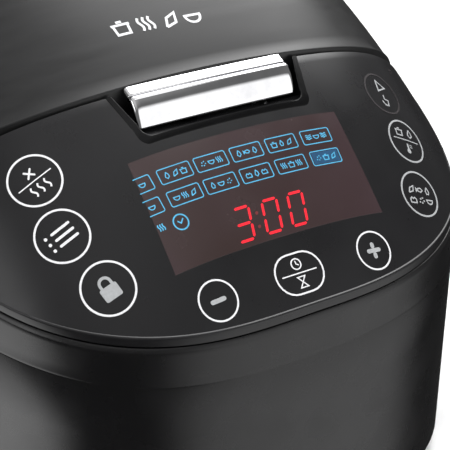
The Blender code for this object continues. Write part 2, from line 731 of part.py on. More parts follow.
def make_lid():
    plan = lid_outline()
    valve_floor = dome(0.0, VALVE_Y) - VALVE_RECESS
    cover = domed_shell("lid_cover", "lid_black", plan, (0.0, POT_Y), SKIN, dome,
                        lambda x, y: PARTING_Z + GAP)
    join(cover, disc("valve_well", None, VALVE_RADIUS + 3.0, valve_floor - 2.0, dome(0.0, VALVE_Y) - 1.5,
                     (0.0, VALVE_Y)))
    cut(cover, disc("valve_recess", None, VALVE_RADIUS + 1.0, valve_floor, DISPLAY_Z + 140.0, (0.0, VALVE_Y)),
        box("hook_slot", None, (-HOOK_HALF_WIDTH - 1.5, SEAM_Y - 4.0, SEAM_Z - 11.1),
            (HOOK_HALF_WIDTH + 1.5, SEAM_Y + SKIN + 1.0, SEAM_Z - 4.3)),
        rod("steam_hole", None, STEAM_BORE + 0.5, (0.0, VALVE_Y, PARTING_Z + 30.0), 120.0, "Z"))

    liner_low = PARTING_Z + LINER_LIFT
    liner = domed_slab("lid_liner", "inner_black", inset(plan, SKIN + LINER_MARGIN), (0.0, POT_Y + 1.7),
                       lambda x, y: liner_low + LINER_THICK, lambda x, y: liner_low, (1.0, 0.6))
    low, high = PARTING_Z - 4.0, PARTING_Z + 8.0
    cut(liner, disc("liner_steam_hole", None, STEAM_BORE + 3.0, low, high, (0.0, VALVE_Y)),
        disc("liner_clip_hole", None, CLIP_STEM + 2.0, low, high, (0.0, POT_Y)))

    gasket_low = DECK_Z + GAP + POT_FLANGE_THICK + GAP
    sheet_low = gasket_low + GASKET_THICK
    middle_low = sheet_low - PLATE_STEP
    outer, inner = POT_RADIUS - 12.0, POT_RADIUS - 22.0
    inner_lid = turned("inner_lid", "aluminium",
                       [(CLIP_STEM + GAP, middle_low), (inner, middle_low), (outer, sheet_low),
                        (POT_OPENING, sheet_low), (POT_OPENING, sheet_low + SHEET),
                        (outer - 1.0, sheet_low + SHEET), (inner - 1.0, middle_low + SHEET),
                        (CLIP_STEM + GAP, middle_low + SHEET)],
                       (0.0, POT_Y), 64, loop=True)
    cut(inner_lid, rod("inner_lid_steam", None, STEAM_BORE - 2.0, (0.0, VALVE_Y, low), 30.0, "Z"))
    gasket = turned("lid_gasket", "silicone",
                           [(POT_OPENING + 2.0, gasket_low + 0.4), (POT_OPENING + 2.0, sheet_low - GAP),
                            (GASKET_INSIDE, sheet_low - GAP), (GASKET_INSIDE, gasket_low + 0.8),
                            (GASKET_INSIDE + 6.0, gasket_low)], (0.0, POT_Y), 64, loop=True)
    clip_top = middle_low - GAP
    clip = turned("inner_lid_clip", "silicone",
                  [(0.0, clip_top - 4.7), (CLIP_RADIUS, clip_top - 3.7), (CLIP_RADIUS, clip_top),
                   (CLIP_STEM, clip_top), (CLIP_STEM, PARTING_Z + 6.0), (0.0, PARTING_Z + 6.0)],
                  (0.0, POT_Y), 24)
    pipe_low, pipe_high = liner_low, valve_floor - 2.0 - GAP
    pipe = turned("steam_pipe", "silicone",
                  [(STEAM_BORE, pipe_low), (STEAM_BORE, pipe_high), (STEAM_BORE - 3.0, pipe_high),
                   (STEAM_BORE - 3.0, pipe_low)], (0.0, VALVE_Y), 24, loop=True)
    arms = [make_hinge_arm("left", -HINGE_X), make_hinge_arm("right", HINGE_X)]
    hang(pivot("lid_pivot", (0.0, HINGE_Y, HINGE_Z)), cover, liner, inner_lid, gasket, clip, pipe, *arms)

    seat = VALVE_RADIUS - 2.0
    valve_body = turned("steam_valve_body", "inner_black",
                        [(5.6, valve_floor - 6.0), (5.6, valve_floor + GAP), (seat, valve_floor + GAP),
                         (seat, valve_floor + 4.0), (seat - 2.0, valve_floor + 4.0),
                         (seat - 2.0, valve_floor + 2.0), (3.8, valve_floor + 2.0), (3.8, valve_floor - 6.0)],
                        (0.0, VALVE_Y), 40, loop=True)
    cap = domed_slab("steam_valve_cap", "lid_black", circle(VALVE_RADIUS, (0.0, VALVE_Y), 40), (0.0, VALVE_Y),
                     lambda x, y: dome(x, y) + 0.8, lambda x, y: valve_floor + 4.0 + GAP)
    for k in range(5):
        vent_plan = rounded_box_outline(1.6, 7.0, 1.5, (-12.0 + 6.0 * k, VALVE_Y), 3)
        cut(cap, prism(f"cap_vent_{k}", None, vent_plan, valve_floor, DISPLAY_Z + 130.0))
    hang(pivot("valve_lift", (0.0, VALVE_Y, valve_floor)), valve_body, cap)


def make_hinge_arm(label, x):
    """An arm from the lid's rear wall to a round head on the hinge axis."""
    root = LID_REAR_Y + GAP
    profile = [(root, HINGE_Z - 4.0), (HINGE_Y, HINGE_Z - HINGE_RADIUS)]
    profile += [(HINGE_Y + HINGE_RADIUS * math.sin(math.pi * i / 12.0),
                 HINGE_Z - HINGE_RADIUS * math.cos(math.pi * i / 12.0)) for i in range(1, 13)]
    profile += [(root, HINGE_Z + HINGE_RADIUS)]
    arm = skin(f"hinge_arm_{label}", "lid_black",
               [[(x + offset, y, z) for y, z in profile] for offset in (-ARM_HALF_WIDTH, ARM_HALF_WIDTH)])
    return cut(arm, rod(f"arm_bore_{label}", None, HINGE_PIN + GAP,
                        (x - ARM_HALF_WIDTH - 3.0, HINGE_Y, HINGE_Z), 2.0 * ARM_HALF_WIDTH + 6.0))


def make_hinges():
    """Brackets on the rear ledge, one around each hinge arm, with their pins and the lid spring."""
    slot_half = ARM_HALF_WIDTH + 0.4
    half = slot_half + BRACKET_CHEEK
    foot_z = PARTING_Z + GAP
    for label, x in (("left", -HINGE_X), ("right", HINGE_X)):
        profile = [(HINGE_Y - HINGE_RADIUS, foot_z), (HINGE_Y + HINGE_RADIUS, foot_z)]
        profile += [(HINGE_Y + HINGE_RADIUS * math.cos(math.pi * i / 12.0),
                     HINGE_Z + HINGE_RADIUS * math.sin(math.pi * i / 12.0)) for i in range(13)]
        bracket = skin(f"hinge_bracket_{label}", "body_black",
                       [[(x + offset, y, z) for y, z in profile] for offset in (-half, half)])
        cut(bracket, box(f"bracket_slot_{label}", None, (x - slot_half, HINGE_Y - 20.0, foot_z + 1.2),
                         (x + slot_half, HINGE_Y + 20.0, HINGE_Z + 20.0)),
            rod(f"pin_bore_{label}", None, HINGE_PIN + GAP, (x - half - 3.0, HINGE_Y, HINGE_Z),
                2.0 * half + 6.0))
        rod(f"hinge_pin_{label}", "steel", HINGE_PIN, (x - half - 1.5, HINGE_Y, HINGE_Z),
            2.0 * half + 3.0, segments=16)
    spring_low = HINGE_X + half + 0.6
    coil("hinge_spring", "steel", 4.4, 0.6, 6.0, spring_low, spring_low + 12.4, (HINGE_Y, HINGE_Z), "X")


# -------------------------------------------------------------- pot and heater

def make_pot():
    top = DECK_Z + GAP + POT_FLANGE_THICK
    low = top - POT_HEIGHT
    steps = 5
    outer = [(POT_RADIUS - POT_CORNER * (1.0 - math.sin(math.pi / 2.0 * i / steps)),
              low + POT_CORNER * (1.0 - math.cos(math.pi / 2.0 * i / steps))) for i in range(steps + 1)]
    inner_corner = POT_CORNER - POT_WALL
    inner = [(POT_RADIUS - POT_WALL - inner_corner * (1.0 - math.cos(math.pi / 2.0 * i / steps)),
              low + POT_WALL + inner_corner * (1.0 - math.sin(math.pi / 2.0 * i / steps)))
             for i in range(steps + 1)]
    profile = [(0.0, low)] + outer
    profile += [(POT_RADIUS, DECK_Z + GAP), (POT_FLANGE, DECK_Z + GAP), (POT_FLANGE, top),
                (POT_RADIUS - POT_WALL, top)]
    profile += inner + [(0.0, low + POT_WALL)]
    turned("inner_pot", "pot_coating", profile, (0.0, POT_Y), 48)
    return low


def make_heater(pot_low):
    plate_top = pot_low - GAP
    plate_low = plate_top - PLATE_THICK
    centre = (0.0, POT_Y)
    turned("heating_plate", "aluminium",
           [(PLATE_RADIUS - 2.0, plate_low), (PLATE_RADIUS, plate_low + 2.0), (PLATE_RADIUS - 3.0, plate_top),
            (PLATE_BORE, plate_top), (PLATE_BORE, plate_low)], centre, 56, loop=True)
    sweep = math.radians(320.0)
    rings = []
    for i in range(33):
        angle = -math.pi / 2.0 + math.radians(20.0) + sweep * i / 32.0
        ring = []
        for k in range(10):
            around = 2.0 * math.pi * k / 10.0
            reach = ELEMENT_RADIUS + ELEMENT_THICK * math.cos(around)
            ring.append((centre[0] + reach * math.cos(angle), centre[1] + reach * math.sin(angle),
                         plate_low - GAP - ELEMENT_THICK + ELEMENT_THICK * math.sin(around)))
        rings.append(ring)
    skin("heating_element", "steel", rings)
    shield_low, wall = SHIELD_FLOOR_Z, SHIELD_WALL
    turned("heat_shield", "steel",
           [(SHIELD_RADIUS, shield_low), (SHIELD_RADIUS, DECK_Z - DECK_THICK - GAP),
            (SHIELD_RADIUS - wall, DECK_Z - DECK_THICK - GAP), (SHIELD_RADIUS - wall, shield_low + wall),
            (SHIELD_BORE, shield_low + wall), (SHIELD_BORE, shield_low)], centre, 56, loop=True)
    for k in range(3):
        angle = math.radians(90.0 + 120.0 * k)
        place = (centre[0] + STANDOFF_REACH * math.cos(angle), centre[1] + STANDOFF_REACH * math.sin(angle))
        rod(f"plate_standoff_{k + 1}", "steel", STANDOFF_RADIUS, (*place, shield_low + wall + GAP),
            plate_low - shield_low - wall - 2.0 * GAP, "Z", 16)
    box("sensor_bracket", "steel",
        (-BRACKET_HALF_LENGTH, POT_Y - BRACKET_HALF_WIDTH, shield_low - GAP - BRACKET_THICK),
        (BRACKET_HALF_LENGTH, POT_Y + BRACKET_HALF_WIDTH, shield_low - GAP))
    cap_top = pot_low - GAP
    cap_low, inside = cap_top - SENSOR_HEIGHT, SENSOR_RADIUS - SENSOR_WALL
    cap = turned("sensor_cap", "aluminium",
                 [(0.0, cap_top), (SENSOR_RADIUS, cap_top), (SENSOR_RADIUS, cap_low), (inside, cap_low),
                  (inside, cap_top - SENSOR_WALL), (0.0, cap_top - SENSOR_WALL)], centre, 32)
    coil("sensor_spring", "steel", 8.0, 0.6, 4.0, shield_low, cap_top - SENSOR_WALL - GAP, centre)
    hang(pivot("sensor_slide", (*centre, cap_top)), cap)
    fuse_y = POT_Y - STANDOFF_REACH + 2.0
    box("thermal_fuse", "silicone", (-8.0, fuse_y, plate_low - 7.0), (8.0, fuse_y + 6.0, plate_low - GAP))


# -------------------------------------------------------------- rear fittings

def make_inlet():
    face = HALF_DEPTH + HOUSING_TOP_OUT - HOUSING_TAPER * (RIDGE_FRONT_Z - INLET_Z - 20.0) + GAP
    tube_plan = rounded_box_outline(INLET_HALF_WIDTH, INLET_HALF_HEIGHT, 2.0, steps=3)
    flange_plan = rounded_box_outline(INLET_HALF_WIDTH + 5.0, INLET_HALF_HEIGHT + 4.0, 3.0, steps=3)
    inner_plan = rounded_box_outline(INLET_HALF_WIDTH - INLET_WALL, INLET_HALF_HEIGHT - INLET_WALL, 2.5,
                                     steps=3)

    def section(plan, y):
        return [(x, y, INLET_Z + z) for x, z in plan]

    outside = face + INLET_FLANGE
    flange = skin("inlet_flange", None, [section(flange_plan, face), section(flange_plan, outside)])
    inlet = skin("power_inlet", "inner_black",
                 [section(tube_plan, face + 1.0 - INLET_DEPTH), section(tube_plan, face + 1.0)])
    join(inlet, flange)
    cut(inlet, skin("inlet_socket", None,
                    [section(inner_plan, outside - INLET_SOCKET_DEPTH), section(inner_plan, outside + 4.0)]))
    for label, x, z in (("line", -7.0, -2.0), ("earth", 0.0, 2.5), ("neutral", 7.0, -2.0)):
        low = (x - 1.0, face - INLET_DEPTH - 3.0, INLET_Z + z - 2.0)
        high = (x + 1.0, face - 6.0, INLET_Z + z + 2.0)
        hole_low = (low[0] - GAP, low[1] - 6.0, low[2] - GAP)
        hole_high = (high[0] + GAP, high[1] + 1.0, high[2] + GAP)
        cut(inlet, box(f"inlet_pin_slot_{label}", None, hole_low, hole_high))
        box(f"inlet_pin_{label}", "brass", low, high)


def make_cup():
    face = HALF_DEPTH + HOUSING_TOP_OUT + GAP
    box("cup_rail", "body_black", (-RAIL_HALF_WIDTH, face, CUP_LOW_Z + 14.0),
        (RAIL_HALF_WIDTH, face + RAIL_THICK, CUP_HIGH_Z - 4.0))
    near = face + RAIL_THICK + GAP
    middle = near + CUP_DEPTH / 2.0
    outer = rounded_box_outline(CUP_HALF_WIDTH, CUP_DEPTH / 2.0, 6.0, (0.0, middle))
    inner = rounded_box_outline(CUP_HALF_WIDTH - CUP_WALL, CUP_DEPTH / 2.0 - CUP_WALL, 5.0, (0.0, middle))
    cup = prism("condensate_cup", "clear_plastic", outer, CUP_LOW_Z, CUP_HIGH_Z)
    cut(cup, prism("cup_hollow", None, inner, CUP_LOW_Z + CUP_WALL, CUP_HIGH_Z + 4.0))
    hang(pivot("cup_slide", (0.0, middle, CUP_LOW_Z)), cup)
    return near + CUP_DEPTH


# -------------------------------------------------------------- assembly

make_base()
make_feet()
make_housing()
make_upper_frame()
make_panel()
make_electronics()
make_latch()
make_lid()
make_hinges()
pot_underside = make_pot()
make_heater(pot_underside)
make_inlet()
rear_limit = make_cup()

# The origin is under the middle of the whole object.
front_limit = -HALF_DEPTH - COLLAR_RIDGE_OUT
shift = -(rear_limit + front_limit) / 2.0 * MM
for piece in bpy.data.objects:
    if piece.parent is None:
        piece.location.y += shift
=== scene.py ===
"""Visual model of the electric multicooker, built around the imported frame.

Lengths are millimetres and become metres when a mesh is made. -Y is the panel side.
"""
import json
import math

import bmesh
import bpy
from mathutils import Matrix, Vector


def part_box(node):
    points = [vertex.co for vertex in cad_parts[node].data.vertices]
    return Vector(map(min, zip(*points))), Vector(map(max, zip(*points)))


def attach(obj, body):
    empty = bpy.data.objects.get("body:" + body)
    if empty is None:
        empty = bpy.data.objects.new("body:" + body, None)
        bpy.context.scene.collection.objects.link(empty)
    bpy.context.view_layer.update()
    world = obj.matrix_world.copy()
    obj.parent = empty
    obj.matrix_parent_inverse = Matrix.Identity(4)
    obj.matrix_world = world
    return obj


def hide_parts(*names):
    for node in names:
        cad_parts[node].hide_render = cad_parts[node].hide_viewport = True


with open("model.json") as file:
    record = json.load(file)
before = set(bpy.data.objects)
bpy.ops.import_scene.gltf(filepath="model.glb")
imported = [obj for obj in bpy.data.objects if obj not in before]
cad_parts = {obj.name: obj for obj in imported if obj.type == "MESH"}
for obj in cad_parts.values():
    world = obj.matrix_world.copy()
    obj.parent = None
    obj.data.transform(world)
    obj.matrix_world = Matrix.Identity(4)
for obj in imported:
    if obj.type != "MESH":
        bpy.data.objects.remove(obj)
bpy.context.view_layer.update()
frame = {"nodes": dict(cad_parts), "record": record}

MM = 0.001


def box_mm(node):
    """A node's lowest and highest corners, in millimetres."""
    low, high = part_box(node)
    return Vector(low) / MM, Vector(high) / MM


# ------------------------------------------------------------------ main sizes
WINDOW_LOW, WINDOW_HIGH = box_mm("display_window")
LID_HIGH = box_mm("lid_cover")[1]
FRAME_LOW, FRAME_HIGH = box_mm("upper_frame")
HOUSING_LOW, HOUSING_HIGH = box_mm("housing_shell")

COLLAR_RIDGE_OUT = 1.6          # how far the collar's lower edge stands out
HALF_WIDTH = (FRAME_HIGH.x - FRAME_LOW.x) / 2.0 - COLLAR_RIDGE_OUT
HALF_DEPTH = (FRAME_HIGH.y - FRAME_LOW.y) / 2.0 - COLLAR_RIDGE_OUT
BODY_Y = (FRAME_HIGH.y + FRAME_LOW.y) / 2.0
CORNER_POWER = 3.0

DISPLAY_Y = (WINDOW_LOW.y + WINDOW_HIGH.y) / 2.0
DISPLAY_Z = 161.0
DOME_SLOPE = 0.996
DOME_BEND = 0.0025
DOME_CROWN = 0.00068
DOME_SHOULDER = 1.29e-7
FLATTEN_FROM = 110.0
FLATTEN_TO = 190.0

PARTING_Z = 160.5
RIDGE_FRONT_Z = 97.2
RIDGE_RISE = 0.2875
RIDGE_LEVELLING = 0.00045
RIDGE_CROWN = 0.00028
SKIN = 2.5
SEAT_GAP = 0.7
GAP = 0.3

LID_SEAM = 42.3
LID_SEAM_BOW = 9.74e-8
PANEL_BACK = 40.2
PANEL_BACK_BEND = 0.00028
PANEL_BACK_BOW = 6.73e-8
LID_REAR_Y = LID_HIGH.y
SEAM_Y = DISPLAY_Y + LID_SEAM
SEAM_Z = DISPLAY_Z + DOME_SLOPE * LID_SEAM - DOME_BEND * LID_SEAM ** 2
POT_LOW, POT_HIGH = box_mm("inner_pot")
POT_Y = (POT_LOW.y + POT_HIGH.y) / 2.0
POT_OPENING = (POT_HIGH.x - POT_LOW.x) / 2.0 - 4.0
DECK_Z = PARTING_Z - 5.5

HOUSING_TOP_OUT = 0.6
HOUSING_TAPER = math.tan(math.radians(1.0))

WINDOW_HALF_WIDTH = (WINDOW_HIGH.x - WINDOW_LOW.x) / 2.0
WINDOW_HALF_DEPTH = (WINDOW_HIGH.y - WINDOW_LOW.y) / 2.0
NOTCH_HALF_WIDTH = 42.7
NOTCH_FLARE = 5.0
NOTCH_FRONT = 23.0
NOTCH_CORNER = 5.0
BEZEL_FLOOR = 8.5
FRAME_WALL = 0.7            # thickness of the rim around the push bar
FRAME_OVERLAP = 1.7         # how far the frame lies over the panel
LEDGE_HALF_WIDTH = 41.4
BUTTON_HALF_WIDTH = 40.6


# ------------------------------------------------------------------- the dome
def dome(x, y):
    """Height of the domed top over a point of the plan."""
    behind = y - DISPLAY_Y
    crown = DOME_CROWN * x ** 2 + DOME_SHOULDER * x ** 4
    start = min(behind, FLATTEN_FROM)
    rise = DOME_SLOPE * start - DOME_BEND * start ** 2
    if behind > FLATTEN_FROM:
        slope = DOME_SLOPE - 2.0 * DOME_BEND * FLATTEN_FROM
        extra = behind - FLATTEN_FROM
        rise += slope * extra - slope * extra ** 2 / (2.0 * (FLATTEN_TO - FLATTEN_FROM))
    return DISPLAY_Z + rise - crown


def dome_normal(x, y):
    step = 0.05
    across = (dome(x + step, y) - dome(x - step, y)) / (2.0 * step)
    along = (dome(x, y + step) - dome(x, y - step)) / (2.0 * step)
    return Vector((-across, -along, 1.0)).normalized()


def collar_top(x, y):
    return min(dome(x, y) - SKIN - SEAT_GAP, PARTING_Z)


def ridge(x, y):
    back = y - BODY_Y + HALF_DEPTH
    return RIDGE_FRONT_Z + RIDGE_RISE * back - RIDGE_LEVELLING * back ** 2 + RIDGE_CROWN * x ** 2


# ------------------------------------------------------------------- outlines
def outline_point(angle, grow=0.0):
    power = 2.0 / CORNER_POWER
    along, across = math.cos(angle), math.sin(angle)
    x = (HALF_WIDTH + grow) * math.copysign(abs(along) ** power, along)
    y = (HALF_DEPTH + grow) * math.copysign(abs(across) ** power, across)
    return x, y + BODY_Y


def outline(grow=0.0, first=0.0, last=2.0 * math.pi, count=240):
    return [outline_point(first + (last - first) * i / count, grow) for i in range(count)]


def outline_angle(x, y):
    power = CORNER_POWER / 2.0
    across = math.copysign(abs((y - BODY_Y) / HALF_DEPTH) ** power, y - BODY_Y)
    along = math.copysign(abs(x / HALF_WIDTH) ** power, x)
    return math.atan2(across, along)


def half_width_at(y):
    return HALF_WIDTH * (1.0 - abs((y - BODY_Y) / HALF_DEPTH) ** CORNER_POWER) ** (1.0 / CORNER_POWER)


def front_edge(x, grow=0.0):
    share = min(1.0, abs(x / (HALF_WIDTH + grow)))
    return BODY_Y - (HALF_DEPTH + grow) * (1.0 - share ** CORNER_POWER) ** (1.0 / CORNER_POWER)


def lid_seam(x):
    return DISPLAY_Y + LID_SEAM + LID_SEAM_BOW * x ** 4


def panel_back(x):
    return DISPLAY_Y + PANEL_BACK + PANEL_BACK_BEND * x ** 2 + PANEL_BACK_BOW * x ** 4


def seam_end(seam):
    low, high = 0.0, HALF_WIDTH
    for _ in range(50):
        middle = (low + high) / 2.0
        if half_width_at(seam(middle)) > middle:
            low = middle
        else:
            high = middle
    return low


def lid_outline():
    end = seam_end(lid_seam)
    points = [(end * i / 50.0, lid_seam(end * i / 50.0)) for i in range(-50, 50)]
    rear_half = half_width_at(LID_REAR_Y)
    first = outline_angle(end, lid_seam(end))
    last = outline_angle(rear_half, LID_REAR_Y)
    points += outline(0.0, first, last, 70)
    points += [(rear_half * (1.0 - i / 20.0), LID_REAR_Y) for i in range(40)]
    points += outline(0.0, math.pi - last, math.pi - first, 70)
    return points


def inset(points, distance):
    """The closed outline moved inwards by distance (outwards if negative)."""
    moved = []
    count = len(points)
    for i in range(count):
        here = Vector(points[i])
        before = (here - Vector(points[i - 1])).normalized()
        after = (Vector(points[(i + 1) % count]) - here).normalized()
        normal = Vector((-before.y - after.y, before.x + after.x)).normalized()
        reach = max(0.35, normal.dot(Vector((-after.y, after.x))))
        moved.append(tuple(here + normal * (distance / reach)))
    return moved


def circle(radius, centre=(0.0, 0.0), count=96):
    return [(centre[0] + radius * math.cos(2 * math.pi * i / count),
             centre[1] + radius * math.sin(2 * math.pi * i / count)) for i in range(count)]


def rounded_box(half_x, half_y, radius, centre=(0.0, 0.0), steps=8):
    points = []
    for turn in range(4):
        corner_x = (half_x - radius) * (1 if turn in (0, 3) else -1)
        corner_y = (half_y - radius) * (1 if turn in (0, 1) else -1)
        for step in range(steps + 1):
            angle = math.pi / 2.0 * (turn + step / steps)
            points.append((centre[0] + corner_x + radius * math.cos(angle),
                           centre[1] + corner_y + radius * math.sin(angle)))
    return points


def notch_outline(clear=0.0, beyond=0.0, steps=8):
    """The latch recess in plan: rounded in front, flaring to the seam and then beyond it."""
    wide, front = NOTCH_HALF_WIDTH - clear, DISPLAY_Y + NOTCH_FRONT + clear
    back = DISPLAY_Y + LID_SEAM - 1.2
    radius = NOTCH_CORNER
    flare = NOTCH_FLARE * (back + beyond - front - radius) / (back - front - radius)
    points = []
    for side in (-1, 1):
        arc = [(side * (wide - radius + radius * math.sin(a)), front + radius - radius * math.cos(a))
               for a in (math.pi / 2.0 * i / steps for i in range(steps + 1))]
        arc.append((side * (wide + flare), back + beyond))
        points += arc[::-1] if side < 0 else arc
    return points


# -------------------------------------------------------------- mesh builders
def solid(name, points, faces, material=None, sharp=35.0):
    mesh = bpy.data.meshes.new(name)
    mesh.from_pydata([tuple(c * MM for c in p) for p in points], [], faces)
    work = bmesh.new()
    work.from_mesh(mesh)
    bmesh.ops.remove_doubles(work, verts=work.verts, dist=1e-7)
    bmesh.ops.recalc_face_normals(work, faces=work.faces)
    work.to_mesh(mesh)
    work.free()
    made = bpy.data.objects.new(name, mesh)
    bpy.context.scene.collection.objects.link(made)
    if material:
        mesh.materials.append(material)
    mesh.shade_smooth()
    mesh.set_sharp_from_angle(angle=math.radians(sharp))
    return made


def skin(name, rings, material=None, first=None, last=None, loop=False, sharp=35.0):
    """A solid through rings of equal length, closed by poles, flat caps or onto itself."""
    points = [tuple(p) for ring in rings for p in ring]
    size = len(rings[0])
    faces = []
    for r in range(len(rings) if loop else len(rings) - 1):
        here, there = r * size, (r + 1) % len(rings) * size
        for i in range(size):
            j = (i + 1) % size
            faces.append((here + i, here + j, there + j, there + i))
    if not loop:
        for pole, start in ((first, 0), (last, (len(rings) - 1) * size)):
            if pole is None:
                faces.append(tuple(range(start, start + size)))
            else:
                points.append(tuple(pole))
                tip = len(points) - 1
                faces += [(start + i, start + (i + 1) % size, tip) for i in range(size)]
    return solid(name, points, faces, material, sharp)


def prism(name, plan, low, high, material=None):
    def level(value):
        return [(x, y, value(x, y) if callable(value) else value) for x, y in plan]
    return skin(name, [level(low), level(high)], material)


def polar(plan, centre, height, shares):
    rings = []
    for share in shares:
        ring = [(centre[0] + (x - centre[0]) * share, centre[1] + (y - centre[1]) * share)
                for x, y in plan]
        rings.append([(x, y, height(x, y)) for x, y in ring])
    return rings


def carve(target, cutters):
    """Boolean cuts, made permanent; the cutters are removed."""
    for cutter in cutters:
        change = target.modifiers.new("carve", "BOOLEAN")
        change.operation = "DIFFERENCE"
        change.solver = "EXACT"
        change.object = cutter
    graph = bpy.context.evaluated_depsgraph_get()
    mesh = bpy.data.meshes.new_from_object(target.evaluated_get(graph))
    target.modifiers.clear()
    old = target.data
    target.data = mesh
    bpy.data.meshes.remove(old)
    for cutter in cutters:
        bpy.data.objects.remove(cutter, do_unlink=True)
    return target


def soften(piece, width, segments=3, angle=40.0):
    """Rounds every edge sharper than angle."""
    change = piece.modifiers.new("soften", "BEVEL")
    change.width = width * MM
    change.segments = segments
    change.limit_method = "ANGLE"
    change.angle_limit = math.radians(angle)
    change.harden_normals = False
    graph = bpy.context.evaluated_depsgraph_get()
    mesh = bpy.data.meshes.new_from_object(piece.evaluated_get(graph))
    piece.modifiers.clear()
    old = piece.data
    piece.data = mesh
    bpy.data.meshes.remove(old)
    return smooth(piece)


def merge(name, pieces):
    """One object that holds the closed shells of several."""
    work = bmesh.new()
    for piece in pieces:
        work.from_mesh(piece.data)
    mesh = bpy.data.meshes.new(name)
    work.to_mesh(mesh)
    work.free()
    for slot in pieces[0].data.materials:
        mesh.materials.append(slot)
    for piece in pieces:
        bpy.data.objects.remove(piece, do_unlink=True)
    made = bpy.data.objects.new(name, mesh)
    bpy.context.scene.collection.objects.link(made)
    return smooth(made)


def place(piece, body, slot, *nodes):
    """Hangs a finished piece on its body; it stands in for nodes."""
    if nodes:
        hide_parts(*nodes)
    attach(piece, body)
    return piece


def smooth(piece, sharp=35.0):
    piece.data.shade_smooth()
    piece.data.set_sharp_from_angle(angle=math.radians(sharp))
    return piece


# ------------------------------------------------------------------ materials
class Paint:
    """A Principled material with a short way to add nodes."""

    def __init__(self, name, colour, roughness, metallic=0.0, **sockets):
        self.made = bpy.data.materials.new(name)
        self.made.use_nodes = True
        self.tree = self.made.node_tree
        self.shader = self.tree.nodes["Principled BSDF"]
        self.coords = self.node("ShaderNodeTexCoord")
        self.set("Base Color", (*colour, 1.0))
        self.set("Roughness", roughness)
        self.set("Metallic", metallic)
        for socket, value in sockets.items():
            self.set(socket.replace("_", " "), value)

    def set(self, socket, value):
        self.shader.inputs[socket].default_value = value

    def node(self, kind, **values):
        made = self.tree.nodes.new(kind)
        for key, value in values.items():
            setattr(made, key, value)
        return made

    def link(self, source, target):
        self.tree.links.new(source, target)

    def noise(self, scale, detail=3.0, stretch=(1.0, 1.0, 1.0), roughness=0.5):
        mapping = self.node("ShaderNodeMapping")
        mapping.inputs["Scale"].default_value = stretch
        self.link(self.coords.outputs["Object"], mapping.inputs["Vector"])
        noise = self.node("ShaderNodeTexNoise")
        noise.inputs["Scale"].default_value = scale
        noise.inputs["Detail"].default_value = detail
        noise.inputs["Roughness"].default_value = roughness
        self.link(mapping.outputs["Vector"], noise.inputs["Vector"])
        return noise.outputs["Fac"]

    def ramp(self, source, low, high, start=0.3, end=0.7):
        ramp = self.node("ShaderNodeMapRange")
        ramp.inputs["From Min"].default_value = start
        ramp.inputs["From Max"].default_value = end
        ramp.inputs["To Min"].default_value = low
        ramp.inputs["To Max"].default_value = high
        self.link(source, ramp.inputs["Value"])
        return ramp.outputs["Result"]

    def vary_roughness(self, source, low, high, start=0.3, end=0.7):
        self.link(self.ramp(source, low, high, start, end), self.shader.inputs["Roughness"])
        return self

    def vary_colour(self, source, dark, light, start=0.3, end=0.7):
        mix = self.node("ShaderNodeMix", data_type="RGBA")
        mix.inputs[6].default_value = (*dark, 1.0)
        mix.inputs[7].default_value = (*light, 1.0)
        self.link(self.ramp(source, 0.0, 1.0, start, end), mix.inputs[0])
        self.link(mix.outputs[2], self.shader.inputs["Base Color"])
        return self

    def bump(self, source, strength, depth):
        bump = self.node("ShaderNodeBump")
        bump.inputs["Strength"].default_value = strength
        bump.inputs["Distance"].default_value = depth
        self.link(source, bump.inputs["Height"])
        if self.shader.inputs["Normal"].links:
            before = self.shader.inputs["Normal"].links[0].from_socket
            self.link(before, bump.inputs["Normal"])
        self.link(bump.outputs["Normal"], self.shader.inputs["Normal"])
        return self


def satin_plastic(name, colour, low, high, grain=2600.0, depth=2e-5, strength=0.1, **sockets):
    """Moulded plastic: fine grain, slow colour drift and an uneven sheen."""
    paint = Paint(name, colour, low, **sockets)
    drift = paint.noise(14.0, 4.0)
    fine = paint.noise(grain, 2.0)
    lighter = tuple(c * 1.18 + 0.001 for c in colour)
    darker = tuple(c * 0.85 for c in colour)
    paint.vary_colour(drift, darker, lighter)
    paint.vary_roughness(paint.noise(55.0, 5.0), low, high)
    paint.bump(fine, strength, depth)
    return paint.made


def brushed_metal(name, colour, low, high, stretch=(1.0, 40.0, 40.0), scale=30.0, depth=2e-5):
    paint = Paint(name, colour, low, 1.0)
    lines = paint.noise(scale, 4.0, stretch, 0.65)
    paint.vary_roughness(lines, low, high)
    paint.vary_colour(lines, tuple(c * 0.82 for c in colour), tuple(min(1.0, c * 1.1) for c in colour))
    paint.bump(lines, 0.2, depth)
    return paint.made


def lid_finish():
    """Dark satin lacquer with very faint streaks running across the lid."""
    paint = Paint("lid_satin", (0.01, 0.01, 0.0103), 0.36)
    streaks = paint.noise(9.0, 4.0, (1.0, 22.0, 22.0), 0.6)
    paint.vary_colour(streaks, (0.007, 0.007, 0.0073), (0.013, 0.013, 0.0134))
    paint.vary_roughness(streaks, 0.33, 0.42)
    paint.bump(paint.noise(2400.0, 2.0), 0.08, 2e-5)
    return paint.made


def window_finish():
    """Smoked window, slightly cloudy, from dark brown to plum."""
    paint = Paint("smoked_window", (0.06, 0.045, 0.042), 0.2, Coat_Weight=0.3, Coat_Roughness=0.15)
    cloud = paint.noise(16.0, 3.0)
    paint.vary_colour(cloud, (0.033, 0.019, 0.018), (0.046, 0.027, 0.031))
    paint.vary_roughness(paint.noise(60.0, 4.0), 0.18, 0.28)
    return paint.made


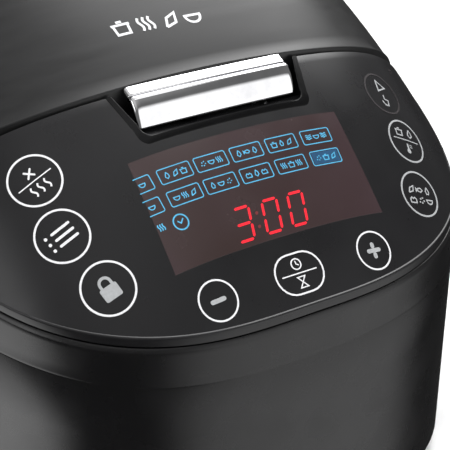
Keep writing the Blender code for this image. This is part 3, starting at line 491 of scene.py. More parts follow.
def glow(name, colour, strength, edge=0.5):
    """Lit print: emission with slightly uneven brightness."""
    paint = Paint(name, tuple(c * 0.3 for c in colour), 0.4)
    paint.set("Emission Strength", strength)
    mix = paint.node("ShaderNodeMix", data_type="RGBA")
    mix.inputs[6].default_value = (*(c * edge for c in colour), 1.0)
    mix.inputs[7].default_value = (*colour, 1.0)
    paint.link(paint.ramp(paint.noise(420.0, 3.0), 0.2, 1.0), mix.inputs[0])
    paint.link(mix.outputs[2], paint.shader.inputs["Emission Color"])
    return paint.made


def printed(name, colour, roughness=0.5):
    paint = Paint(name, colour, roughness)
    paint.vary_colour(paint.noise(900.0, 3.0), tuple(c * 0.86 for c in colour), colour)
    paint.vary_roughness(paint.noise(300.0, 2.0), roughness - 0.08, roughness + 0.08)
    return paint.made


MATERIALS = {
    "lid": lid_finish(),
    "panel": satin_plastic("panel_satin", (0.0065, 0.0063, 0.0072), 0.26, 0.33),
    "body": satin_plastic("body_satin", (0.0045, 0.0043, 0.0048), 0.24, 0.32),
    "frame": satin_plastic("frame_gloss", (0.003, 0.003, 0.0033), 0.16, 0.24, strength=0.03,
                           Specular_IOR_Level=0.25),
    "inner": satin_plastic("inner_matt", (0.03, 0.03, 0.032), 0.5, 0.62, grain=1500.0, depth=4e-5),
    "window": window_finish(),
    "chrome": brushed_metal("chrome_plate", (0.9, 0.9, 0.92), 0.03, 0.07, (1.0, 1.0, 1.0), 40.0, 2e-6),
    "aluminium": brushed_metal("satin_aluminium", (0.72, 0.72, 0.73), 0.3, 0.42),
    "steel": brushed_metal("bright_steel", (0.56, 0.56, 0.57), 0.26, 0.4),
    "brass": brushed_metal("pin_brass", (0.78, 0.6, 0.3), 0.25, 0.38),
    "coating": satin_plastic("pot_coating", (0.035, 0.035, 0.038), 0.38, 0.5, grain=900.0, depth=5e-5),
    "silicone": satin_plastic("pale_silicone", (0.62, 0.6, 0.56), 0.55, 0.68, grain=700.0),
    "rubber": satin_plastic("foot_rubber", (0.02, 0.02, 0.02), 0.75, 0.9, grain=500.0, depth=6e-5),
    "board": satin_plastic("board_green", (0.03, 0.16, 0.06), 0.35, 0.5, grain=300.0),
    "component": satin_plastic("component_black", (0.03, 0.03, 0.032), 0.4, 0.55),
    "clear": satin_plastic("frosted_clear", (0.55, 0.58, 0.6), 0.2, 0.3, Transmission_Weight=0.75, IOR=1.49),
    "white_print": printed("white_print", (0.86, 0.86, 0.88)),
    "grey_print": printed("grey_print", (0.42, 0.43, 0.44)),
    "faint_print": printed("faint_print", (0.035, 0.03, 0.032)),
    "blue_light": glow("blue_light", (0.10, 0.50, 0.80), 0.9),
    "blue_fill": glow("blue_fill", (0.01, 0.07, 0.16), 0.9, 0.7),
    "red_light": glow("red_light", (1.0, 0.012, 0.03), 1.0, 0.8),
    "red_dim": glow("red_dim", (0.25, 0.03, 0.035), 0.6),
}


# ------------------------------------------------------------ housing, collar
def make_housing():
    """The lower casing: a tall wall with a tucked top and a rounded bottom edge."""
    low = HOUSING_LOW.z
    foot_radius = 3.0           # roundness of the bottom edge
    inner = 2.2                 # wall thickness
    rings = []

    def ring(grow, height):
        return [(x, y, height(px, py)) for (x, y), (px, py) in zip(outline(grow), outline())]

    def grow_at(z):
        return HOUSING_TOP_OUT - HOUSING_TAPER * max(0.0, RIDGE_FRONT_Z - z)

    top = grow_at(RIDGE_FRONT_Z)
    rings.append(ring(top - inner, lambda x, y: ridge(x, y) - GAP))
    rings.append(ring(top - 0.9, lambda x, y: ridge(x, y) - GAP))
    rings.append(ring(top - 0.3, lambda x, y: ridge(x, y) - GAP - 0.25))
    rings.append(ring(top, lambda x, y: ridge(x, y) - GAP - 0.9))
    for share in (0.25, 0.5, 0.75):
        rings.append(ring(top + (grow_at(low) - top) * share,
                          lambda x, y, s=share: ((ridge(x, y) - GAP - 0.9) * (1 - s)
                                                 + (low + foot_radius) * s)))
    for step in range(6):
        angle = math.pi / 2.0 * step / 5.0
        grow = grow_at(low) - foot_radius * (1.0 - math.cos(angle))
        height = low + foot_radius * (1.0 - math.sin(angle))
        rings.append(ring(grow, lambda x, y, h=height: h))
    rings.append(ring(grow_at(low) - foot_radius - 0.1, lambda x, y: low + 2.0))
    rings.append(ring(grow_at(60.0) - inner, lambda x, y: 60.0))
    shell = skin("casing", rings, MATERIALS["body"], loop=True)
    inlet_low, inlet_high = box_mm("power_inlet")
    opening = rounded_box(14.3, 10.8, 2.0)
    middle_z = (inlet_low.z + inlet_high.z) / 2.0
    tunnel = [[(x, y, z + middle_z) for x, z in opening]
              for y in (HOUSING_HIGH.y - 14.0, HOUSING_HIGH.y + 14.0)]
    carve(shell, [skin("inlet_hole", tunnel)])
    smooth(shell)
    place(shell, "root", "body_black", "housing_shell")


def make_collar():
    """The band under panel and lid, with the deck around the pot and the hinge ledge."""
    def ring(grow, share, drop=0.0):
        points = []
        for (x, y), (px, py) in zip(outline(grow), outline()):
            low, high = ridge(px, py), collar_top(px, py)
            points.append((x, y, low + (high - low) * share + drop))
        return points

    rings = [
        ring(-1.7, 0.0), ring(0.4, 0.0), ring(1.2, 0.0, 0.05), ring(1.55, 0.0, 0.3), ring(1.6, 0.0, 0.7),
        ring(1.5, 0.08), ring(1.42, 0.3), ring(1.3, 0.6), ring(1.2, 0.8), ring(1.12, 1.0, -1.9),
        ring(1.0, 1.0, -1.6), ring(0.25, 1.0, -0.35), ring(0.0, 1.0, -0.1), ring(-0.4, 1.0), ring(-1.7, 1.0),
    ]
    band = skin("band", rings, MATERIALS["body"], loop=True, sharp=50.0)

    end = seam_end(panel_back) - 6.0
    plan = [(end * i / 20.0, panel_back(end * i / 20.0) - SKIN - 1.5) for i in range(-20, 21)]
    corner = seam_end(lid_seam)
    first = outline_angle(corner, lid_seam(corner) + 4.0)
    plan += outline(-0.9, first, math.pi - first, 130)[1:]
    lip = POT_OPENING
    hole = []
    for x, y in plan:
        angle = math.atan2(y - POT_Y, x)
        hole.append((math.cos(angle), math.sin(angle)))

    def rim(radius, height):
        return [(radius * x, POT_Y + radius * y, height) for x, y in hole]

    def edge(height):
        return [(x, y, height) for x, y in plan]

    low, high = DECK_Z - 3.0, DECK_Z
    deck = skin("deck", [edge(low), edge(high), rim(lip + 6.0, high), rim(lip + 1.0, high),
                         rim(lip + 0.3, high - 0.3), rim(lip, high - 1.0), rim(lip, low + 0.4),
                         rim(lip + 0.4, low)], MATERIALS["body"], loop=True)
    side = half_width_at(LID_REAR_Y + 1.0) - 2.0
    rear = [(x, y) for x, y in outline(-0.9) if y > LID_REAR_Y + 2.0]
    ledge = prism("ledge", [(-side, LID_REAR_Y + 1.0), (side, LID_REAR_Y + 1.0)] + rear, low + 1.0, PARTING_Z,
                  MATERIALS["body"])
    place(merge("collar_band", [band, deck, soften(ledge, 0.6)]), "root", "body_black", "upper_frame")


# ----------------------------------------------------------------------- lid
def make_lid():
    plan = lid_outline()
    centre = (0.0, LID_HIGH.y - 125.0)
    edge = 1.0
    rings = []
    shares = [0.03, 0.07, 0.12, 0.18, 0.25, 0.32, 0.4, 0.48, 0.56, 0.64, 0.71, 0.78, 0.84, 0.89, 0.93, 0.965]
    flat = inset(plan, edge)
    rings += polar(flat, centre, dome, shares)
    for step in range(7):
        angle = math.pi / 2.0 * step / 6.0
        around = inset(plan, edge * (1.0 - math.sin(angle)))
        rings.append([(x, y, dome(px, py) - edge * (1.0 - math.cos(angle)))
                      for (x, y), (px, py) in zip(around, flat)])
    low = PARTING_Z + GAP
    rings.append([(x, y, low + 0.6) for x, y in plan])
    rings.append([(x, y, low) for x, y in inset(plan, 0.6)])
    inner = inset(plan, SKIN)
    rings.append([(x, y, low) for x, y in inner])
    rings += polar(inner, centre, lambda x, y: dome(x, y) - SKIN - 1.2, shares[::-2])
    top = (*centre, dome(*centre))
    under = (*centre, dome(*centre) - SKIN - 1.2)
    lid = skin("lid_shell", rings, MATERIALS["lid"], top, under)
    place(lid, "lid", "lid_black", "lid_cover")


# --------------------------------------------------------------------- panel
def make_panel():
    end = seam_end(panel_back)
    rows, columns, edge = 26, 130, 1.3
    sections = []
    for i in range(1, columns):
        x = end * math.sin(math.pi * (i / columns - 0.5))
        front, back = front_edge(x), panel_back(x)
        length = back - front
        roll = min(edge, length * 0.25)
        upper = []
        for step in range(5):
            angle = math.pi / 2.0 * step / 4.0
            upper.append((front + roll * (1.0 - math.cos(angle)), -roll * (1.0 - math.sin(angle))))
        tail = min(0.5, length * 0.2)
        upper += [(front + roll + (length - roll - tail) * j / rows, 0.0) for j in range(1, rows + 1)]
        upper += [(back - 0.3 * tail, -0.3 * tail), (back, -tail)]
        section = [(x, y, dome(x, max(y, front + roll)) + drop) for y, drop in upper]
        section += [(x, back, dome(x, back) - SKIN), (x, front, dome(x, front) - SKIN)]
        sections.append(section)
    corner = panel_back(end)
    tip = dome(end, corner) - SKIN / 2.0
    panel = skin("plate", sections, MATERIALS["panel"], (-end, corner, tip), (end, corner, tip))
    carve(panel, [prism("notch", notch_outline(0.0, 8.0), DISPLAY_Z - 5.0, DISPLAY_Z + 60.0)])
    sections = []
    for i in range(-30, 31):
        x = (end - 6.0) * i / 30.0
        back = panel_back(x)
        top = dome(x, back - SKIN) - SKIN
        if abs(x) < NOTCH_HALF_WIDTH + 6.0:
            top = min(top, DISPLAY_Z + BEZEL_FLOOR - 1.0)
        sections.append([(x, back - SKIN, DECK_Z + GAP), (x, back, DECK_Z + GAP), (x, back, top),
                         (x, back - SKIN, top)])
    skirt = skin("skirt", sections, MATERIALS["panel"])
    place(merge("touch_panel", [panel, skirt]), "root", "panel_black", "control_panel")


def surface_patch(name, half_x, front, back, above, below, material, columns=60, rows=24):
    """A rectangle of the domed surface, thickened from below to above it."""
    rings = []
    for i in range(columns + 1):
        x = -half_x + 2.0 * half_x * i / columns
        ys = [front + (back - front) * j / rows for j in range(rows + 1)]
        rings.append([(x, y, dome(x, y) + above) for y in ys]
                     + [(x, y, dome(x, y) + below) for y in reversed(ys)])
    return skin(name, rings, material)


def make_window():
    window = surface_patch("window", WINDOW_HALF_WIDTH, DISPLAY_Y - WINDOW_HALF_DEPTH,
                           DISPLAY_Y + WINDOW_HALF_DEPTH, 0.06, -SKIN, MATERIALS["window"])
    place(window, "root", "smoked_window", "display_window")


# --------------------------------------------------------------------- prints
class Ink:
    """Thin closed marks that follow the domed top, drawn in millimetres around a centre."""

    def __init__(self, name, finish, lift=0.12, depth=0.22):
        self.name, self.finish, self.lift, self.depth = name, finish, lift, depth
        self.points, self.faces = [], []

    def at(self, x, behind, scale=1.0, slant=0.0):
        """Moves the drawing origin to a point of the top."""
        y = DISPLAY_Y + behind
        step = 0.05
        self.normal = dome_normal(x, y)
        across = Vector((1.0, 0.0, (dome(x + step, y) - dome(x - step, y)) / (2.0 * step))).normalized()
        self.right = across
        self.up = self.normal.cross(across)
        self.centre = Vector((x, y, dome(x, y)))
        self.scale, self.slant = scale, slant
        return self

    def lay(self, a, b, lift):
        a, b = (a + b * self.slant) * self.scale, b * self.scale
        spot = self.centre + self.right * a + self.up * b
        for _ in range(4):
            spot -= self.normal * ((spot.z - dome(spot.x, spot.y)) * self.normal.z)
        return tuple(spot + self.normal * lift)

    def band(self, path, width, closed=False):
        """A line of even width along a path, with flat ends."""
        count, half = len(path), width / 2.0 / self.scale
        start = len(self.points)
        for i, here in enumerate(path):
            here = Vector(here)
            before = Vector(path[i - 1]) if closed or i else here * 2.0 - Vector(path[1])
            inside = closed or i < count - 1
            after = Vector(path[(i + 1) % count]) if inside else here * 2.0 - Vector(path[-2])
            first, second = (here - before).normalized(), (after - here).normalized()
            normal = Vector((-first.y - second.y, first.x + second.x)).normalized()
            normal *= half / max(0.5, normal.dot(Vector((-second.y, second.x))))
            for side, lift in ((1, self.lift), (-1, self.lift), (-1, -self.depth), (1, -self.depth)):
                spot = here + normal * side
                self.points.append(self.lay(spot.x, spot.y, lift))
        for i in range(count if closed else count - 1):
            here, there = start + 4 * i, start + 4 * ((i + 1) % count)
            for k in range(4):
                self.faces.append((here + k, here + (k + 1) % 4, there + (k + 1) % 4, there + k))
        if not closed:
            last = start + 4 * (count - 1)
            self.faces += [(start, start + 1, start + 2, start + 3), (last + 3, last + 2, last + 1, last)]

    def blob(self, polygon):
        start, count = len(self.points), len(polygon)
        for lift in (self.lift, -self.depth):
            self.points += [self.lay(a, b, lift) for a, b in polygon]
        for i in range(count):
            j = (i + 1) % count
            self.faces.append((start + i, start + j, start + count + j, start + count + i))
        self.faces.append(tuple(range(start, start + count)))
        self.faces.append(tuple(range(start + 2 * count - 1, start + count - 1, -1)))

    def ring(self, radius, width, count=72, centre=(0.0, 0.0)):
        self.band(circle(radius, centre, count), width, closed=True)

    def dot(self, a, b, radius, count=16):
        self.blob(circle(radius, (a, b), count))

    def bar(self, a, b, length, width, turn=0.0):
        """A straight bar with round ends."""
        reach, round_end = length / 2.0 - width / 2.0, width / 2.0
        cos, sin = math.cos(turn), math.sin(turn)
        shape = []
        for side in (1, -1):
            for step in range(7):
                angle = -math.pi / 2.0 + math.pi * step / 6.0
                u = side * (reach + round_end * math.cos(angle))
                v = side * round_end * math.sin(angle)
                shape.append((a + u * cos - v * sin, b + u * sin + v * cos))
        self.blob(shape)

    def finish_print(self, body="root", slot="panel_black"):
        piece = solid(self.name, self.points, self.faces, MATERIALS[self.finish])
        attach(piece, body)


def arc(centre, radius, first, last, count=12):
    return [(centre[0] + radius * math.cos(math.radians(first + (last - first) * i / count)),
             centre[1] + radius * math.sin(math.radians(first + (last - first) * i / count)))
            for i in range(count + 1)]


def wave(a, low, high, swing, turns=1.0, count=14):
    return [(a + swing * math.sin(2.0 * math.pi * turns * i / count), low + (high - low) * i / count)
            for i in range(count + 1)]


def rounded_path(half_x, half_y, radius, centre=(0.0, 0.0), steps=6):
    """A rounded rectangle whose straight sides are split, so that it follows a curved top."""
    corners = rounded_box(half_x, half_y, radius, centre, steps)
    path = []
    for i, here in enumerate(corners):
        there = corners[(i + 1) % len(corners)]
        gap = math.dist(here, there)
        parts = max(1, int(gap / 2.0))
        path += [(here[0] + (there[0] - here[0]) * k / parts, here[1] + (there[1] - here[1]) * k / parts)
                 for k in range(parts)]
    return path


def glyph(ink, kind, a, b, size, width):
    """A generic cooking pictogram in a square cell of the given size."""
    h = size / 2.0

    def line(*points):
        ink.band([(a + x * h, b + y * h) for x, y in points], width)

    if kind == "pot":
        line((-0.8, 0.3), (-0.7, -0.8), (0.7, -0.8), (0.8, 0.3))
        line((-1.0, 0.35), (1.0, 0.35))
        line((-0.3, 0.7), (0.3, 0.7))
    elif kind == "steam":
        for offset in (-0.6, 0.0, 0.6):
            ink.band([(a + x * h, b + y * h) for x, y in wave(offset, -0.8, 0.8, 0.16)], width)
    elif kind == "flame":
        line((0.0, 0.9), (0.45, 0.25), (0.55, -0.35), (0.0, -0.85), (-0.55, -0.35), (-0.35, 0.2), (0.0, 0.9))
    elif kind == "bowl":
        ink.band([(a + x * h, b + y * h) for x, y in arc((0.0, 0.2), 0.85, 180, 360, 10)], width)
        line((-1.0, 0.25), (1.0, 0.25))
    elif kind == "fish":
        line((0.95, 0.0), (0.4, 0.45), (-0.35, 0.3), (-0.95, -0.4), (-0.95, 0.4), (-0.35, -0.3), (0.4, -0.45),
             (0.95, 0.0))
    elif kind == "grain":
        for x, y in ((-0.55, -0.4), (0.1, -0.55), (0.65, -0.1), (-0.25, 0.3), (0.35, 0.55)):
            ink.dot(a + x * h, b + y * h, width * 0.75, 8)
    elif kind == "cake":
        line((-0.8, -0.7), (0.8, -0.7), (0.8, 0.1), (0.4, 0.45), (0.0, 0.15), (-0.4, 0.45), (-0.8, 0.1),
             (-0.8, -0.7))
    elif kind == "leaf":
        line((-0.7, -0.8), (-0.3, 0.3), (0.8, 0.8), (0.5, -0.4), (-0.7, -0.8))
    elif kind == "noodles":
        for offset in (-0.5, 0.0, 0.5):
            ink.band([(a + y * h, b + (offset + x) * h) for x, y in wave(0.0, -0.9, 0.9, 0.14, 1.5)], width)
    elif kind == "drop":
        line((0.0, 0.85), (0.5, -0.1), (0.3, -0.7), (-0.3, -0.7), (-0.5, -0.1), (0.0, 0.85))


KEY_RADIUS = 10.97
SMALL_KEY_RADIUS = 8.52
KEY_LINE = 0.85


def make_keys():
    """The touch keys: ringed pictograms left, right and below the window."""
    white, grey, faint = (Ink("key_print_" + tone, tone + "_print") for tone in ("white", "grey", "faint"))
    ink = white.at(-90.1, 28.1)
    ink.ring(KEY_RADIUS, KEY_LINE)
    ink.band([(-8.2, 0.0), (0.0, 0.0), (8.2, 0.0)], 0.5)
    ink.bar(0.0, 3.6, 5.2, 0.8, math.radians(45.0))
    ink.bar(0.0, 3.6, 5.2, 0.8, math.radians(-45.0))
    for a in (-3.4, 0.0, 3.4):
        ink.band(wave(a, -6.2, -1.6, 0.6), 0.75)
    ink.at(-89.05, 8.66).ring(KEY_RADIUS, KEY_LINE)
    for b in (-3.0, 0.0, 3.0):
        ink.bar(1.2, b, 9.4, 1.1)
        ink.dot(-6.0, b, 0.7)
    ink.at(-80.5, -11.7).ring(KEY_RADIUS, KEY_LINE)
    ink = grey.at(-80.5, -11.7)
    ink.blob(rounded_box(3.9, 2.9, 0.8, (0.0, -1.9), 4))
    shackle = arc((0.0, 2.2), 2.4, 180, 0, 12)[1:-1]
    ink.band([(-2.4, 0.6), (-2.4, 2.2)] + shackle + [(2.4, 2.2), (2.4, 0.6)], 1.2)
    ink = white.at(-40.1, -28.55)
    ink.ring(SMALL_KEY_RADIUS, 0.75)
    ink = grey.at(-40.1, -28.55)
    ink.bar(0.0, 0.0, 7.4, 1.9)
    white.at(40.1, -28.55).ring(SMALL_KEY_RADIUS, 0.75)
    ink = grey.at(40.1, -28.55)
    ink.bar(0.0, 0.0, 7.4, 1.9)
    ink.bar(0.0, 2.3, 2.8, 1.9, math.pi / 2.0)
    ink.bar(0.0, -2.3, 2.8, 1.9, math.pi / 2.0)
    ink = white.at(0.0, -28.98)
    ink.band(rounded_path(11.72, 8.62, 8.4), 0.75, closed=True)
    ink.band([(-8.8, 0.0), (-3.0, 0.0), (3.0, 0.0), (8.8, 0.0)], 0.5)
    ink.ring(2.3, 0.55, 32, (0.0, 4.0))
    ink.band([(0.0, 5.5), (0.0, 4.0), (1.2, 3.3)], 0.45)
    ink.band([(-1.9, -1.6), (1.9, -1.6), (-1.9, -6.2), (1.9, -6.2)], 0.55, closed=True)
    ink = grey.at(80.5, -11.7)
    ink.ring(KEY_RADIUS, KEY_LINE)
    for k, kind in enumerate(("leaf", "fish", "drop")):
        glyph(ink, kind, -5.2 + 5.2 * k, 1.9, 4.4, 0.6)
    for k, kind in enumerate(("cake", "grain", "bowl")):
        glyph(ink, kind, -5.2 + 5.2 * k, -3.2, 4.4, 0.6)
    ink.at(89.05, 8.66).ring(KEY_RADIUS, KEY_LINE)
    glyph(ink, "pot", -3.6, 4.6, 5.0, 0.6)
    glyph(ink, "flame", 3.6, 4.6, 5.0, 0.6)
    ink.band([(-8.2, 0.6), (0.0, 0.6), (8.2, 0.6)], 0.5)
    ink.band([(0.0, -1.4), (0.0, -5.0)], 1.0)
    ink.dot(0.0, -5.4, 1.2)
    for b in (-2.0, -3.2):
        ink.band([(1.4, b), (2.8, b)], 0.45)
    faint.at(90.1, 28.1).ring(KEY_RADIUS, KEY_LINE)
    ink.at(90.1, 28.1)
    ink.band([(-2.4, 0.9), (2.9, 3.9), (-2.4, 6.9)], 0.7, closed=True)
    ink.band([(-1.8, -4.6), (-0.4, -6.6), (1.9, -6.6), (2.4, -3.6), (0.0, -3.2), (0.0, -0.9)], 0.6)
    for angle in (45, 90, 135, 180, 225):
        spot = math.radians(angle)
        faint.at(111.0, 46.4).bar(1.6 * math.cos(spot), 1.6 * math.sin(spot), 1.6, 0.45, spot)
    for tone in (white, grey, faint):
        tone.finish_print()


def make_display():
    """Lit symbols: two rows of programme boxes, a clock and the time left to cook."""
    blue, fill = Ink("display_blue", "blue_light"), Ink("display_blue_fill", "blue_fill", 0.09, 0.2)
    rows = ((10.0, (("bowl", "grain", "drop"), ("flame", "leaf", "pot"), ("grain", "bowl", "steam"),
                    ("flame", "fish", "flame"), ("pot", "drop", "leaf"), ("noodles", "bowl", "noodles"))),
            (2.6, (("bowl", "grain", "steam"), ("bowl", "steam", "leaf"), ("drop", "bowl", "grain"),
                   ("cake", "flame", "cake"), ("steam", "pot", "steam"), ("grain", "pot", "leaf"))))
    columns = (-50.4, -35.45, -17.7, 0.3, 18.55, 37.25)
    for behind, cells in rows:
        for x, kinds in zip(columns, cells):
            half, offset = BOX_HALF_WIDTH, 0.0
            if x == columns[0]:
                half, offset = 4.2, -0.9
                top, low = arc((2.9, 2.5), 0.8, 90, 0, 4)[1:], arc((2.9, -2.5), 0.8, 0, -90, 4)
                open_box = [(-3.6, 3.3), (0.0, 3.3), (2.9, 3.3)] + top + [(3.7, 0.0)] + low
                blue.at(x, behind).band(open_box + [(0.0, -3.3), (-3.6, -3.3)], 0.42)
                kinds = kinds[:1]
            else:
                blue.at(x, behind).band(rounded_path(half, BOX_HALF_HEIGHT, 0.9), 0.42, closed=True)
            for k, kind in enumerate(kinds):
                glyph(blue, kind, offset + 4.0 * (k - (len(kinds) - 1) / 2.0), 0.0, 3.3, 0.42)
    fill.at(columns[-1], rows[1][0]).band([(-7.0, 0.0), (-3.5, 0.0), (0.0, 0.0), (3.5, 0.0), (7.0, 0.0)], 5.6)
    clock = blue.at(-42.1, -4.5)
    clock.ring(3.3, 0.6, 40)
    clock.band([(-1.3, 0.7), (-0.1, -0.5), (1.5, 1.2)], 0.55)
    glyph(blue.at(-51.0, -3.9), "steam", 0.0, 0.0, 3.6, 0.5)

    red, dim = Ink("display_red", "red_light"), Ink("display_red_dim", "red_dim")
    for x, shown in ((-15.6, "abcdg"), (-1.4, "abcdef"), (11.8, "abcdef")):
        digit(red.at(x, -11.1, 1.0, 0.235), shown)
    for b in (2.9, -2.9):
        dim.at(-8.5, -11.1, 1.0, 0.235).dot(0.0, b, 0.75, 12)
    for ink in (fill, blue, red, dim):
        ink.finish_print("root", "smoked_window")


BOX_HALF_WIDTH = 7.7
BOX_HALF_HEIGHT = 3.3


def digit(ink, shown):
    """Seven lit bars; the letters name the bars that are on."""
    wide, tall, thick = 3.7, 7.0, 1.15
    upright = tall - 2.0 * thick * 0.55
    places = {
        "a": (0.0, tall, 0), "g": (0.0, 0.0, 0), "d": (0.0, -tall, 0),
        "b": (wide, tall / 2.0, 1), "c": (wide, -tall / 2.0, 1),
        "f": (-wide, tall / 2.0, 1), "e": (-wide, -tall / 2.0, 1),
    }
    for name in shown:
        a, b, turned_up = places[name]
        long = (upright if turned_up else 2.0 * wide - 0.7 * thick) / 2.0
        point = thick / 2.0
        bar = [(-long, 0.0), (-long + point, point), (long - point, point), (long, 0.0),
               (long - point, -point), (-long + point, -point)]
        ink.blob([(a - v, b + u) if turned_up else (a + u, b + v) for u, v in bar])


def make_lid_mark():
    """A row of plain pictograms on the front of the lid: pot, steam, leaf and bowl."""
    ink = Ink("lid_mark", "white_print")
    for kind, x in (("pot", -26.5), ("steam", -14.5), ("leaf", -2.5), ("bowl", 9.0)):
        glyph(ink.at(x, 66.0 - 0.05 * (x + 26.0)), kind, 0.0, 0.0, 9.0, 1.2)
    ink.finish_print("lid", "lid_black")


# --------------------------------------------------------------------- latch
def closer(points, count):
    """The same line with count points more in each stretch."""
    return [(a[0] + (b[0] - a[0]) * k / count, a[1] + (b[1] - a[1]) * k / count)
            for a, b in zip(points, points[1:]) for k in range(count)] + [points[-1]]


def make_bezel():
    """The frame around the push bar: a thin rim, a ledge in front of the bar and an edge over the panel."""
    floor = DISPLAY_Z + BEZEL_FLOOR
    bezel = prism("bezel", notch_outline(GAP), floor, lambda x, y: dome(x, y) + 0.1, MATERIALS["frame"])
    hollow = notch_outline(GAP + FRAME_WALL, 6.0)
    carve(bezel, [prism("hollow", hollow, floor + 1.5, SEAM_Z + 25.0)])
    soften(bezel, 0.25, 3, 50.0)
    front, back, far = DISPLAY_Y + NOTCH_FRONT + GAP + 1.0, SEAM_Y - 13.2, DISPLAY_Z + 20.8
    rings = []
    for i in range(41):
        x = -LEDGE_HALF_WIDTH + 2.0 * LEDGE_HALF_WIDTH * i / 40.0
        near = dome(x, front) - 0.9
        rings.append([(x, front - 0.5, near), (x, front, near + 0.05), (x, back - 0.8, far + 0.25),
                      (x, back + 1.2, far - 0.3), (x, back + 5.0, far - 1.2), (x, back + 5.0, far - 2.4),
                      (x, front - 0.5, near - 2.0)])
    ledge = skin("ledge_plate", rings, MATERIALS["frame"])
    inner, outer = (closer(notch_outline(clear), 16) for clear in (GAP + 0.2, -FRAME_OVERLAP))
    sections = []
    for (x, y), (u, v) in zip(inner, outer):
        high, edge = dome(x, y), dome(u, v)
        shoulder = (0.97 * u + 0.03 * x, 0.97 * v + 0.03 * y, edge + 0.22)
        sections.append([(x, y, high - 1.0), (x, y, high + 0.2), shoulder, (u, v, edge + 0.05),
                         (u, v, edge - 0.3)])
    flange = skin("flange", sections, MATERIALS["frame"])
    place(merge("bezel_frame", [bezel, ledge, flange]), "root", "inner_black", "latch_bezel")


def make_button():
    """The plated push bar: a narrow top strip, a groove and a curved front face."""
    strip = [(-0.45, -0.5), (-1.9, -1.25), (-3.4, -2.05), (-4.6, -2.65), (-4.9, -3.0)]
    groove = [(-4.95, -4.2), (-5.55, -4.2), (-5.7, -3.1)]
    face = [(-6.3, -3.25), (-7.3, -4.1), (-9.7, -7.1), (-10.7, -9.1), (-11.9, -12.0), (-12.75, -14.7)]
    lip = [(-12.5, -15.3), (-11.8, -15.45), (-10.6, -15.5), (-10.2, -15.2)]
    back = [(-9.3, -12.6), (-8.3, -10.2), (-6.0, -7.8), (-2.2, -5.2), (-0.45, -3.2)]
    bar = strip + groove + face + lip + back
    half, round_end = BUTTON_HALF_WIDTH, 1.8
    sections = []
    for side in (-1, 1):
        steps = [half - round_end * (1.0 - math.sin(math.pi / 2.0 * k / 5.0)) for k in range(5, -1, -1)]
        insets = [round_end * 0.55 * (1.0 - math.cos(math.pi / 2.0 * k / 5.0)) for k in range(5, -1, -1)]
        group = [(side * x, d) for x, d in zip(steps, insets)]
        sections += group if side < 0 else group[::-1]
    middle = [(-(half - round_end) + 2.0 * (half - round_end) * i / 40.0, 0.0) for i in range(1, 40)]
    sections = sections[:6] + middle + sections[6:]
    rings = []
    for x, d in sections:
        around = inset(bar, d) if d > 1e-6 else bar
        bow = 0.5 * (x / half) ** 2
        rings.append([(x, SEAM_Y + y, SEAM_Z + z - bow * 0.6) for y, z in around])
    button = skin("push_bar", rings, MATERIALS["chrome"], sharp=30.0)
    place(button, "latch", "chrome", "latch_button")


# -------------------------------------------------------------------- camera
def make_camera():
    azimuth, elevation, roll = math.radians(-33.705), math.radians(24.062), math.radians(-0.121)
    right = Vector((math.cos(azimuth), math.sin(azimuth), 0.0))
    back = Vector((math.sin(azimuth) * math.cos(elevation), -math.cos(azimuth) * math.cos(elevation),
                   math.sin(elevation)))
    up = back.cross(right)
    turned_right = right * math.cos(roll) + up * math.sin(roll)
    turned_up = up * math.cos(roll) - right * math.sin(roll)
    data = bpy.data.cameras.new("camera")
    data.sensor_width = 36.0
    data.lens = 111.43
    data.shift_x = 0.0387
    data.shift_y = -0.0722
    data.clip_start = 0.01
    camera = bpy.data.objects.new("camera", data)
    place = Vector((-314.96, -432.95 + DISPLAY_Y, 233.58 + DISPLAY_Z)) * MM
    camera.matrix_world = Matrix((
        (turned_right.x, turned_up.x, back.x, place.x),
        (turned_right.y, turned_up.y, back.y, place.y),
        (turned_right.z, turned_up.z, back.z, place.z),
        (0.0, 0.0, 0.0, 1.0)))
    bpy.context.scene.collection.objects.link(camera)
    bpy.context.scene.camera = camera


def make_floor():
    size = 4000.0
    floor = solid("floor", [(-size, -size, 0.0), (size, -size, 0.0), (size, size, 0.0), (-size, size, 0.0)],
                  [(0, 1, 2, 3)], satin_plastic("studio_floor", (0.9, 0.9, 0.9), 0.6, 0.7, grain=60.0))
    floor.visible_glossy = False


def area_light(name, place, target, size, power, glossy):
    data = bpy.data.lights.new(name, "AREA")
    data.shape = "RECTANGLE"
    data.size, data.size_y = size
    data.energy = power
    light = bpy.data.objects.new(name, data)
    light.location = Vector(place)
    light.rotation_euler = (Vector(target) - Vector(place)).to_track_quat("-Z", "Y").to_euler()
    light.visible_glossy = glossy
    bpy.context.scene.collection.objects.link(light)


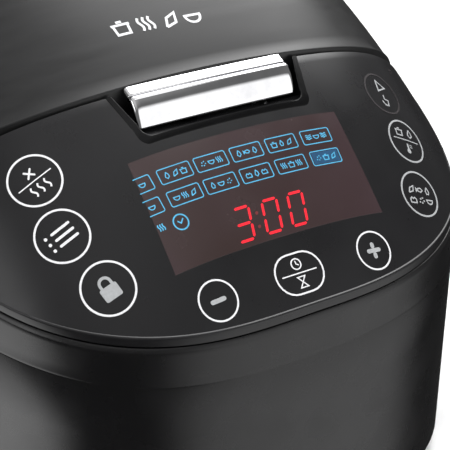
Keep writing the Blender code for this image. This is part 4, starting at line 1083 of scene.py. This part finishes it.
class Sky:
    """The studio around the cooker: brightness added up from soft patches, each set by a direction."""

    def __init__(self, level):
        world = bpy.data.worlds.new("studio")
        world.use_nodes = True
        bpy.context.scene.world = world
        self.tree = world.node_tree
        self.coords = self.tree.nodes.new("ShaderNodeTexCoord")
        self.total = self.tree.nodes.new("ShaderNodeValue").outputs[0]
        self.total.default_value = level

    def patch(self, azimuth, elevation, inner, outer, level):
        """Adds level within inner degrees of a direction, fading out to nothing at outer degrees."""
        turn, lift = math.radians(azimuth), math.radians(elevation)
        towards = (math.sin(turn) * math.cos(lift), -math.cos(turn) * math.cos(lift), math.sin(lift))
        dot = self.tree.nodes.new("ShaderNodeVectorMath")
        dot.operation = "DOT_PRODUCT"
        dot.inputs[1].default_value = towards
        start, end = (math.cos(math.radians(angle)) for angle in (outer, inner))
        self.tree.links.new(self.coords.outputs["Generated"], dot.inputs[0])
        self.fade(dot.outputs["Value"], start, end, 0.0, level)

    def fade(self, source, start, end, low, high):
        ramp = self.tree.nodes.new("ShaderNodeMapRange")
        ramp.interpolation_type = "SMOOTHSTEP"
        for socket, value in (("From Min", start), ("From Max", end), ("To Min", low), ("To Max", high)):
            ramp.inputs[socket].default_value = value
        self.tree.links.new(source, ramp.inputs["Value"])
        add = self.tree.nodes.new("ShaderNodeMath")
        self.tree.links.new(self.total, add.inputs[0])
        self.tree.links.new(ramp.outputs["Result"], add.inputs[1])
        self.total = add.outputs["Value"]

    def by_height(self, start, end, low, high):
        """Adds a level that changes with the height of the direction."""
        split = self.tree.nodes.new("ShaderNodeSeparateXYZ")
        self.tree.links.new(self.coords.outputs["Generated"], split.inputs["Vector"])
        self.fade(split.outputs["Z"], start, end, low, high)

    def finish(self):
        """The backdrop itself is white; only light and reflections see the patches."""
        background = self.tree.nodes["Background"]
        mix = self.tree.nodes.new("ShaderNodeMix")
        mix.inputs[3].default_value = 1.0
        seen = self.tree.nodes.new("ShaderNodeLightPath").outputs["Is Camera Ray"]
        self.tree.links.new(seen, mix.inputs[0])
        self.tree.links.new(self.total, mix.inputs[2])
        self.tree.links.new(mix.outputs[0], background.inputs["Strength"])
        background.inputs["Color"].default_value = (1.0, 1.0, 1.0, 1.0)


# azimuth from the front, height above the horizon, full and outer reach (all in degrees), level
SKY_PATCHES = (
    (114.0, 48.0, 5.0, 24.0, 5.5),
    (155.0, 50.0, 20.0, 55.0, 0.5),
    (0.0, 68.0, 8.0, 34.0, 0.45),
    (62.0, 60.0, 3.0, 7.0, 1.2),
    (33.0, 16.0, 14.0, 24.0, 1.1),
    (-68.0, 34.0, 5.0, 20.0, 2.4),
    (-94.0, -33.0, 8.0, 34.0, 2.8),
    (34.0, -24.0, 8.0, 38.0, 1.15),
)


def make_lights():
    sky = Sky(0.04)
    sky.by_height(-0.02, 0.08, 0.0, 0.10)
    for patch in SKY_PATCHES:
        sky.patch(*patch)
    sky.finish()
    area_light("overhead", (0.0, 0.0, 2.2), (0.0, 0.0, 0.0), (3.0, 3.0), 62.0, glossy=False)
    bpy.context.scene.view_settings.view_transform = "Standard"


NODE_FINISH = {
    "lid_black": "lid", "panel_black": "panel", "body_black": "body", "inner_black": "inner",
    "chrome": "chrome", "smoked_window": "window", "aluminium": "aluminium", "pot_coating": "coating",
    "steel": "steel", "brass": "brass", "silicone": "silicone", "rubber": "rubber",
    "board_green": "board", "component": "component", "clear_plastic": "clear",
}


def finish_nodes():
    """Every CAD node gets the finish of its slot."""
    for part in frame["record"]["subparts"]:
        node = frame["nodes"][part["node"]]
        for slot in node.material_slots:
            slot.material = MATERIALS[NODE_FINISH[part["material_slot"]]]


make_camera()
make_lights()
make_floor()
finish_nodes()
make_housing()
make_collar()
make_lid()
make_panel()
make_window()
make_bezel()
make_button()
make_keys()
make_display()
make_lid_mark()
